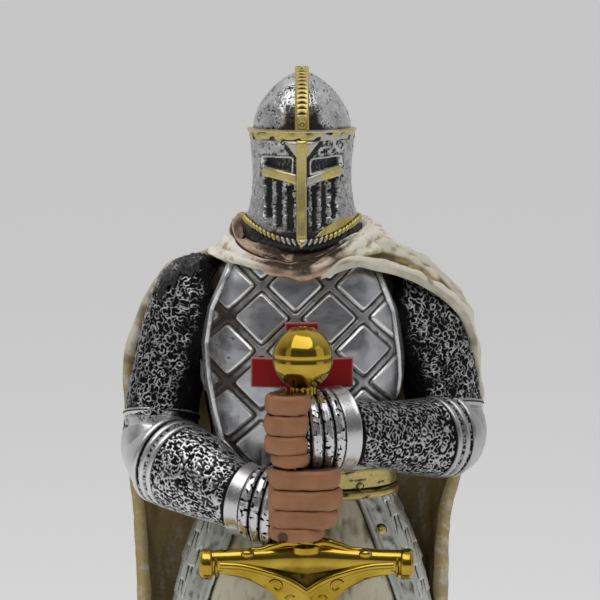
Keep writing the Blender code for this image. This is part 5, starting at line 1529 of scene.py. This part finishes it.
def hands():
    """Bare fists: four stacked fingers each, a palm and a thumb."""
    part = Part()
    for centre, side, bend, reaches in FINGERS:
        cx, cy, cz = centre
        palm = ((8.0, 5.5, 0, 6.0, 8.4), (4.5, 2.6, 0, 6.5, 8.6))
        palm += ((0, 1.6, 0, 6.2, 9.0), (-5.5, 1.8, 0, 4.5, 8.4))
        stations = [(cx + side * x, cy + y, cz + z, across, tall) for x, y, z, across, tall in palm]
        part.add(sweep(stations, 1.0, 32, (0, 0, 1), 2.6), wrap=True, ends=(True, True), relief=0.35)
        drops = (7.2, 1.5, -3.9, -8.2)
        halves = (2.9, 3.0, 2.75, 2.1)
        for n, (drop, half, reach) in enumerate(zip(drops, halves, reaches)):
            path = []
            for x, y in bend:
                moved = x - reach if x < -2 else x
                path.append((cx + side * moved, cy + y, cz + drop, 2.7, half))
            finger = sweep(path, 0.55, 30, (0, 0, 1), 3.0)
            middle = np.abs(finger[..., 2] - cz - drop) / half
            crease = waves(finger, 4.5, 111 + n)
            relief = np.clip(rise(middle, 1.02, 0.80) * 0.8 + 0.2 + 0.06 * crease, 0, 1)
            # A dark dent is left where the lower thumb meets the fingers
            dent = rise(np.hypot(finger[..., 0] + 5.4, (finger[..., 2] - 171.0) * 0.8), 2.0, 0.8)
            relief = relief * (1 - dent)
            finger = lifted(finger, 0.07 * crease - 0.6 * dent, True)
            part.add(finger, wrap=True, ends=(True, True), relief=relief)
    thumb = ((-6.4, -38.5, 187.5, 2.2, 2.6), (-7.4, -42.4, 184.0, 2.0, 2.2), (-7.6, -43.4, 178.0, 1.8, 2.0))
    thumb += ((-7.2, -43.0, 172.4, 1.6, 1.8),)
    part.add(sweep(thumb, 0.6, 20, (0, 1, 0), 2.3), wrap=True, ends=(True, True), relief=0.8)
    show(part, "hands", skin_paint(), "knight")


def skin_paint():
    """Matte flesh paint, brown in the gaps between the fingers."""
    look = Look("skin_paint")
    fine = look.noise(1.6, 4.0)
    broad = look.noise(6.0, 3.0)
    height = look.varied(look.value("relief"), broad, 0.35)
    warm = look.mix(look.step(broad, 0.3, 0.7), (0.34, 0.145, 0.058), (0.42, 0.185, 0.085))
    look.bump(fine, 0.06, 0.4)
    return look.set(
        base_color=look.mix(look.step(height, 0.22, 0.85), (0.075, 0.022, 0.012), warm),
        roughness=look.step(fine, 0.3, 0.7, 0.42, 0.55),
    )


# Legs
def legs():
    """Armoured legs below the skirt, with plated shoes."""
    part = Part()
    for side in (-1, 1):
        x = 17.0 * side
        leg = ((x, -1, 104, 11.5, 12), (x, -2, 92, 10.4, 11), (x, -2, 80, 8.8, 9.4), (x, 1, 62, 9.4, 10.2))
        leg += ((x * 1.02, 2, 42, 7.6, 8.2), (x * 1.05, 1, 27, 6.4, 7.0), (x * 1.05, 0, 17, 6.4, 7.0))
        greave = sweep(leg, 1.2, 44, (0, 1, 0))
        scuff = waves(greave, 3.0, 121)
        part.add(lifted(greave, 0.1 * scuff, True), wrap=True, ends=(True, True), relief=0.75 + 0.15 * scuff)
        part.add(ball((x, -7.0, 88.5), (9.4, 7.0, 9.0), 44, 26), wrap=True, ends=(True, True), relief=0.9)
        for k, z in enumerate((79.0, 76.2)):
            crown = 10.4 - 0.5 * k
            profile = ((-1.6, 7), (-1.5, 9.6), (-0.8, crown), (0.8, crown), (1.5, 9.6), (1.6, 7))
            part.add(turned(profile, (x, -2, z), (0, 0, 1), 44), wrap=True, ends=(True, True), relief=0.8)
        shoe(part, x * 1.04, side)
    show(part, "legs", washed_silver("leg_silver", (0.50, 0.50, 0.51), 0.25, 0.75, 0.36), "knight")


def shoe(part, x, side):
    """Pointed plated shoe, flat below, turned outward, with overlapping plates."""
    stations = ((-9, 3.2, 5), (-7, 5.4, 9), (-1, 6.6, 13), (6, 6.8, 13.5), (12, 6.9, 10.5), (18, 6.9, 8.2))
    stations = np.array(stations + ((24, 5.8, 6.4), (29, 3.8, 4.8), (32, 1.8, 3.4)), float)
    turn = math.radians(15) * side
    angle = np.linspace(0, math.pi, 30)
    rings, shade = [], []
    for along in np.linspace(-9, 32, 84):
        _, half, tall = smooth(stations[:, 0], stations, along)
        step = (along / 4.6) % 1 if along > 4 else 0.5
        tall = tall + 0.35 * step
        local_x, local_y = (half + 0.2 * step) * np.cos(angle), -along + 0 * angle
        z = GROUND + tall * np.sin(angle) ** 0.8
        world_x = x + local_x * math.cos(turn) - local_y * math.sin(turn)
        world_y = local_x * math.sin(turn) + local_y * math.cos(turn)
        rings.append(np.stack([world_x, world_y, z], axis=-1))
        shade.append(0.35 + 0.6 * rise(step, 0.05, 0.3))
    part.add(np.array(rings), wrap=True, ends=(True, True), relief=np.array(shade)[:, None])


# Sword
def sword_centre(z):
    """Axis of the sword at a height: it leans slightly to the viewer's right as it goes down."""
    return 0.3 + SWORD_LEAN * (z - 216.0)


def pommel(part):
    """Ball with broad soft facets and a groove round its middle."""
    tilt = np.linspace(-0.5, 0.5, 57)[:, None] * math.pi * 0.985
    turn = around(112)[None]

    def facet(angle, count):
        step = 2 * math.pi / count
        away = (angle + step / 2) % step - step / 2
        return 1 - POMMEL_FACET * (1 - math.cos(step / 2) / np.cos(away))

    radius = facet(turn + 0 * tilt, 8) * facet(tilt + 0 * turn, 8)
    radius = radius / radius.mean() * POMMEL_RADIUS
    groove = rise(np.abs(tilt * POMMEL_RADIUS), 0.75, 0.20) + 0 * turn
    radius = radius - 0.30 * groove
    x = sword_centre(POMMEL_Z) + radius * np.cos(tilt) * np.sin(turn)
    y = SWORD_Y - radius * np.cos(tilt) * np.cos(turn)
    z = POMMEL_Z + radius * np.sin(tilt) + 0 * turn
    relief = 1 - 0.75 * groove
    part.add(np.stack([x, y, z], axis=-1), wrap=True, ends=(True, True), relief=relief)


def sword_hilt():
    """Pommel, grip with its wrinkled collars, and the guard with its plates, ridges and scrolls."""
    part = Part()
    pommel(part)
    foot_x = sword_centre(167)
    axis = (SWORD_LEAN, 0, 1)
    grip = turned(((-2, GRIP_RADIUS), (49, GRIP_RADIUS)), (foot_x, SWORD_Y, 167), axis, 40, 0.5)
    wrap = np.sin(grip[..., 2] * 2.6 + 2 * np.arctan2(grip[..., 1] - SWORD_Y, grip[..., 0]))
    part.add(lifted(grip, 0.12 * wrap, True), wrap=True, ends=(True, True), relief=0.6 + 0.4 * wrap)
    profile = ((-0.8, 3.9), (-0.4, 4.6), (1.4, 4.6), (1.9, 3.9))
    collar_ring = turned(profile, (foot_x, SWORD_Y, 165.6), axis, 60, 0.3)
    part.add(collar_ring, wrap=True, ends=(True, True), relief=0.9)
    neck_profile = ((0, 2.8), (0.4, 3.5), (2.6, 3.4), (3.2, 3.8))
    neck = turned(neck_profile, (sword_centre(210), SWORD_Y, 209.4), axis, 72, 0.3)
    pleat = np.sin(14 * np.arctan2(neck[..., 1] - SWORD_Y, neck[..., 0] - sword_centre(210)))
    part.add(lifted(neck, 0.18 * pleat, True), wrap=True, ends=(True, True), relief=0.55 + 0.4 * pleat)
    guard(part)
    show(part, "sword_hilt", gloss_gold(), "sword", 60)


# Across, up from the middle, half height and half depth of the cross bar
GUARD_BAR = (
    (-27.5, 1.1, 3.2, 3.0), (-20, 1.3, 3.3, 3.1), (-13, 1.5, 3.7, 3.3), (0, 1.6, 4.9, 3.6),
    (13, 1.5, 3.7, 3.3), (20, 1.3, 3.3, 3.1), (27.5, 1.1, 3.2, 3.0),
)
# Distance along and radius of the turned ends
GUARD_KNOB = (
    (-0.9, 3.3), (-0.6, 3.8), (-0.2, 3.8), (0.0, 3.2), (0.4, 3.2), (0.7, 4.3), (1.2, 4.5), (3.4, 4.4),
    (4.1, 3.6), (4.3, 2.6),
)
# Across, forward and height of the ridge that runs down to a V, and of the leaves on top
GUARD_RIDGE = (
    (24.3, 3.0, 161.9), (18.7, 3.2, 161.6), (11.2, 3.5, 159.9), (5.0, 3.6, 157.7), (-0.4, 3.3, 154.3),
)
GUARD_LEAF = ((1.5, 167.6, 1.2), (5.0, 168.2, 1.3), (9.0, 167.2, 1.1), (13.5, 166.0, 0.7), (15.5, 166.2, 0.4))


def guard(part):
    """Cross bar with turned ends, V-shaped ridges, beads, leaves and the plates below."""
    cx = sword_centre(GUARD_Z)
    bar = []
    for x, z, tall, deep in GUARD_BAR:
        bar.append((cx + x, SWORD_Y, GUARD_Z + z, deep, tall))
    body = sweep(bar, 0.6, 40, (0, 0, 1), 2.4)
    shade = rise(np.abs(body[..., 0] - cx), 15, 6) * rise(body[..., 2], GUARD_Z + 2.0, GUARD_Z - 0.5)
    part.add(body, wrap=True, ends=(True, True), relief=1 - 0.6 * shade)
    for side in (-1, 1):
        start = (cx + side * (GUARD_HALF - 4.2), SWORD_Y, GUARD_Z + 0.4)
        end = turned(GUARD_KNOB, start, (side, 0, 0), 8, 0.6, math.pi / 8)
        along = np.abs(end[..., 0] - start[0])
        part.add(end, wrap=True, ends=(True, True), relief=1 - 0.85 * rise(np.abs(along - 0.15), 0.35, 0.1))
        path = [(cx - side * x, SWORD_Y - deep, z, 0.95, 0.95) for x, deep, z in GUARD_RIDGE]
        part.add(sweep(path, 0.5, 16, (0, 1, 0)), wrap=True, ends=(True, True))
        leaf = [(cx + side * x, SWORD_Y - 1.6, z, thick, thick) for x, z, thick in GUARD_LEAF]
        part.add(sweep(leaf, 0.4, 14, (0, 1, 0)), wrap=True, ends=(True, True), relief=0.85)
        bead = ball((cx + side * 16.5, SWORD_Y - 2.7, 165.0), (1.9, 1.3, 1.2), 24, 14)
        part.add(bead, wrap=True, ends=(True, True))
        scroll(part, cx + side * 8.4, 155.6, side, 2.3)
        scroll(part, cx + side * 4.7, 151.8, -side, 1.5)
    plates(part, cx)


def scroll(part, x, z, side, size):
    """Small raised spiral."""
    t = np.linspace(0, 1, 26)
    angle = 5.2 * t + 0.6
    radius = size * (1 - 0.72 * t)
    path = [
        (x + side * r * math.cos(a), SWORD_Y - 2.75, z + r * math.sin(a), 0.42 * (1 - 0.3 * s), 0.42)
        for a, r, s in zip(angle, radius, t)
    ]
    part.add(sweep(path, 0.5, 8, (0, 1, 0)), wrap=True, ends=(True, True), relief=0.75)


def plates(part, cx):
    """Langet that tapers from the bar down the blade, cushioned on both faces."""
    z = lines((160.6, 133.0), (0.45,))[:, None]
    half = smooth((133, 143, 152, 155.4, 158.2, 159.2, 160.6), (1, 5.2, 8.4, 12.5, 19.5, 24.5, 26), z)
    columns = 60
    u = np.linspace(-1, 1, columns)
    u = np.concatenate([u, u[::-1]])[None]
    face = np.repeat((-1.0, 1.0), columns)[None]
    edge = (1 - np.abs(u)) * half
    border_dip = rise(edge, 0.9, 0.3) * rise(edge, 0.0, 0.15)
    lift = 1.3 + 1.4 * np.sqrt(np.clip(edge / 4.0, 0, 1)) - 0.35 * border_dip
    grid = np.stack([cx + half * u, SWORD_Y + face * lift, z + 0 * u], axis=-1)
    speck = waves(grid, 2.4, 131)
    relief = 1 - 0.5 * rise(speck, 1.3, 1.9) - 0.5 * rise(np.abs(edge - 0.6), 0.35, 0.1)
    # The field above the V, under the bar, is darker: painted shade
    ridge_z = np.interp(np.abs(half * u), (0.4, 5.0, 11.2, 18.7, 24.3), (154.3, 157.7, 159.9, 161.6, 161.9))
    relief = relief - 0.75 * rise(z - ridge_z, 0.0, 1.0)
    part.add(grid, wrap=True, ends=(True, True), relief=np.clip(relief, 0, 1))


def sword_blade():
    """Six-sided blade from the guard down to its point on the plinth, with a shallow fuller."""
    part = Part()
    z = lines((159, 19, GROUND), (1.0, 0.6))
    half = smooth((GROUND, 19, 28, 60, 159), (0.5, 2.4, 3.6, 4.2, 5.2), z)
    thick = smooth((GROUND, 19, 28, 60, 159), (0.6, 1.1, 1.3, 1.5, 1.7), z)
    outline = ((-1, 0), (-0.55, -1), (-0.25, -0.75), (0.25, -0.75), (0.55, -1), (1, 0))
    outline += ((0.55, 1), (0.25, 0.75), (-0.25, 0.75), (-0.55, 1))
    rings = []
    for height, wide, deep in zip(z, half, thick):
        cx = sword_centre(height)
        rings.append([(cx + wide * a, SWORD_Y + deep * b, height) for a, b in outline])
    part.add(np.array(rings), wrap=True, ends=(True, True))
    show(part, "sword_blade", gloss_gold(), "sword", 15)


# Plinth
def plinth():
    """Low base with a moulded edge and a rough stony top."""
    part = Part()
    c, s = rounded(around(240), PLINTH_POWER)
    profile = ((0, 0.3), (0.3, 0), (4.0, 0), (4.6, 1.2), (5.2, 1.6))
    profile += ((8.0, 2.6), (9.0, 2.2), (9.4, 1.4), (12.6, 1.4))
    profile += ((13.4, 1.8), (PLINTH_HEIGHT, 2.8))
    rings = []
    for (z0, i0), (z1, i1) in zip(profile[:-1], profile[1:]):
        for t in np.arange(3) / 3:
            z, inset = z0 + (z1 - z0) * t, i0 + (i1 - i0) * t
            x = (PLINTH_HALF[0] - inset) * c
            rings.append(np.stack([x, PLINTH_CENTRE_Y + (PLINTH_HALF[1] - inset) * s, z + 0 * c], axis=-1))
    for share in np.linspace(0, 0.985, 38):
        inset = 2.8 + share * 44
        x = (PLINTH_HALF[0] - 2.8) * (1 - share) * c
        y = PLINTH_CENTRE_Y + (PLINTH_HALF[1] - 2.8) * (1 - share) * s
        rings.append(np.stack([x, y, PLINTH_HEIGHT + 0 * c], axis=-1))
    grid = np.array(rings)
    rough = waves(grid, 9.0, 141) + 0.6 * waves(grid, 4.0, 142)
    top = grid[..., 2] >= PLINTH_HEIGHT - 1e-6
    grid[..., 2] -= np.where(top, 0.12 * (1 + rough.clip(-1, 2)), 0) * rise(rough, -3, 0)
    relief = np.clip(0.55 + 0.25 * rough, 0, 1)
    part.add(grid, wrap=True, ends=(True, True), relief=relief)
    look = plain_paint("stone_paint", (0.11, 0.10, 0.09), (0.030, 0.026, 0.022), 0.62, 3.0)
    show(part, "plinth_stone", look, "plinth", 50)


# Surroundings
def studio():
    """Pale floor, soft lights and the camera at the photograph's angle."""
    mesh = bpy.data.meshes.new("floor")
    reach = 60.0
    corners = [(-reach, -reach, 0), (reach, -reach, 0), (reach, reach, 0), (-reach, reach, 0)]
    mesh.from_pydata(corners, [], [(0, 1, 2, 3)])
    floor = bpy.data.objects.new("floor", mesh)
    bpy.context.scene.collection.objects.link(floor)
    look = Look("floor_paint")
    look.shader.inputs["Emission Color"].default_value = (1.0, 1.0, 1.0, 1.0)
    look.shader.inputs["Emission Strength"].default_value = 0.22
    mesh.materials.append(look.set(base_color=(0.84, 0.84, 0.84), roughness=0.9))
    surroundings()
    softbox("top", (-0.15, -0.35, 1.15), (1.2, 0.8), 4.6)
    softbox("left", (-0.95, -0.55, 0.55), (0.5, 0.9), 0.45)
    softbox("right", (1.0, -0.30, 0.60), (0.5, 0.9), 0.7)
    camera()
    bpy.context.scene.view_settings.view_transform = "Standard"


def surroundings():
    """Studio walls: dim on the viewer's side, bright behind and above the figure."""
    world = bpy.data.worlds.new("studio")
    world.use_nodes = True
    bpy.context.scene.world = world
    nodes, links = world.node_tree.nodes, world.node_tree.links
    split = nodes.new("ShaderNodeSeparateXYZ")
    links.new(nodes.new("ShaderNodeTexCoord").outputs["Generated"], split.inputs["Vector"])
    parts = []
    for axis, low, high, amount in (("Y", -0.25, 0.75, 0.42), ("Z", 0.3, 0.95, 0.28)):
        ramp = nodes.new("ShaderNodeMapRange")
        ramp.interpolation_type = "SMOOTHSTEP"
        links.new(split.outputs[axis], ramp.inputs["Value"])
        for name, number in (("From Min", low), ("From Max", high), ("To Max", amount)):
            ramp.inputs[name].default_value = number
        parts.append(ramp.outputs["Result"])
    total = nodes.new("ShaderNodeMath")
    links.new(parts[0], total.inputs[0])
    links.new(parts[1], total.inputs[1])
    lift = nodes.new("ShaderNodeMath")
    links.new(total.outputs["Value"], lift.inputs[0])
    lift.inputs[1].default_value = 0.085
    links.new(lift.outputs["Value"], nodes["Background"].inputs["Strength"])
    nodes["Background"].inputs["Color"].default_value = (1.0, 1.0, 1.0, 1.0)


def softbox(name, place, size, power):
    """Rectangular light aimed at the figure's chest."""
    light = bpy.data.lights.new(name, "AREA")
    light.shape = "RECTANGLE"
    light.size, light.size_y = size
    light.energy = power
    lamp = bpy.data.objects.new(name, light)
    bpy.context.scene.collection.objects.link(lamp)
    lamp.location = place
    aim = np.array([0.0, -0.01, 0.22]) - np.array(place)
    lamp.rotation_euler = (
        math.atan2(math.hypot(aim[0], aim[1]), -aim[2]), 0.0, math.atan2(aim[1], aim[0]) - math.pi / 2
    )


def camera():
    """Camera at the photograph's height, distance and tilt."""
    tilt = math.radians(6.0)
    distance = 0.9
    target = (-0.00058, 0.006, 0.2323)
    lens = bpy.data.cameras.new("camera")
    lens.sensor_width = 36.0
    lens.lens = 18.0 / math.tan(math.radians(11.05) / 2)
    view = bpy.data.objects.new("camera", lens)
    bpy.context.scene.collection.objects.link(view)
    view.location = (target[0], target[1] - distance * math.cos(tilt), target[2] + distance * math.sin(tilt))
    view.rotation_euler = (math.pi / 2 - tilt, 0.0, 0.0)
    bpy.context.scene.camera = view


studio()
helm()
helm_gold()
dark_padding()
collar()
cape()
breastplate()
cross()
belt()
skirt()
sleeves()
forearms()
cuffs()
hands()
legs()
sword_hilt()
sword_blade()
plinth()
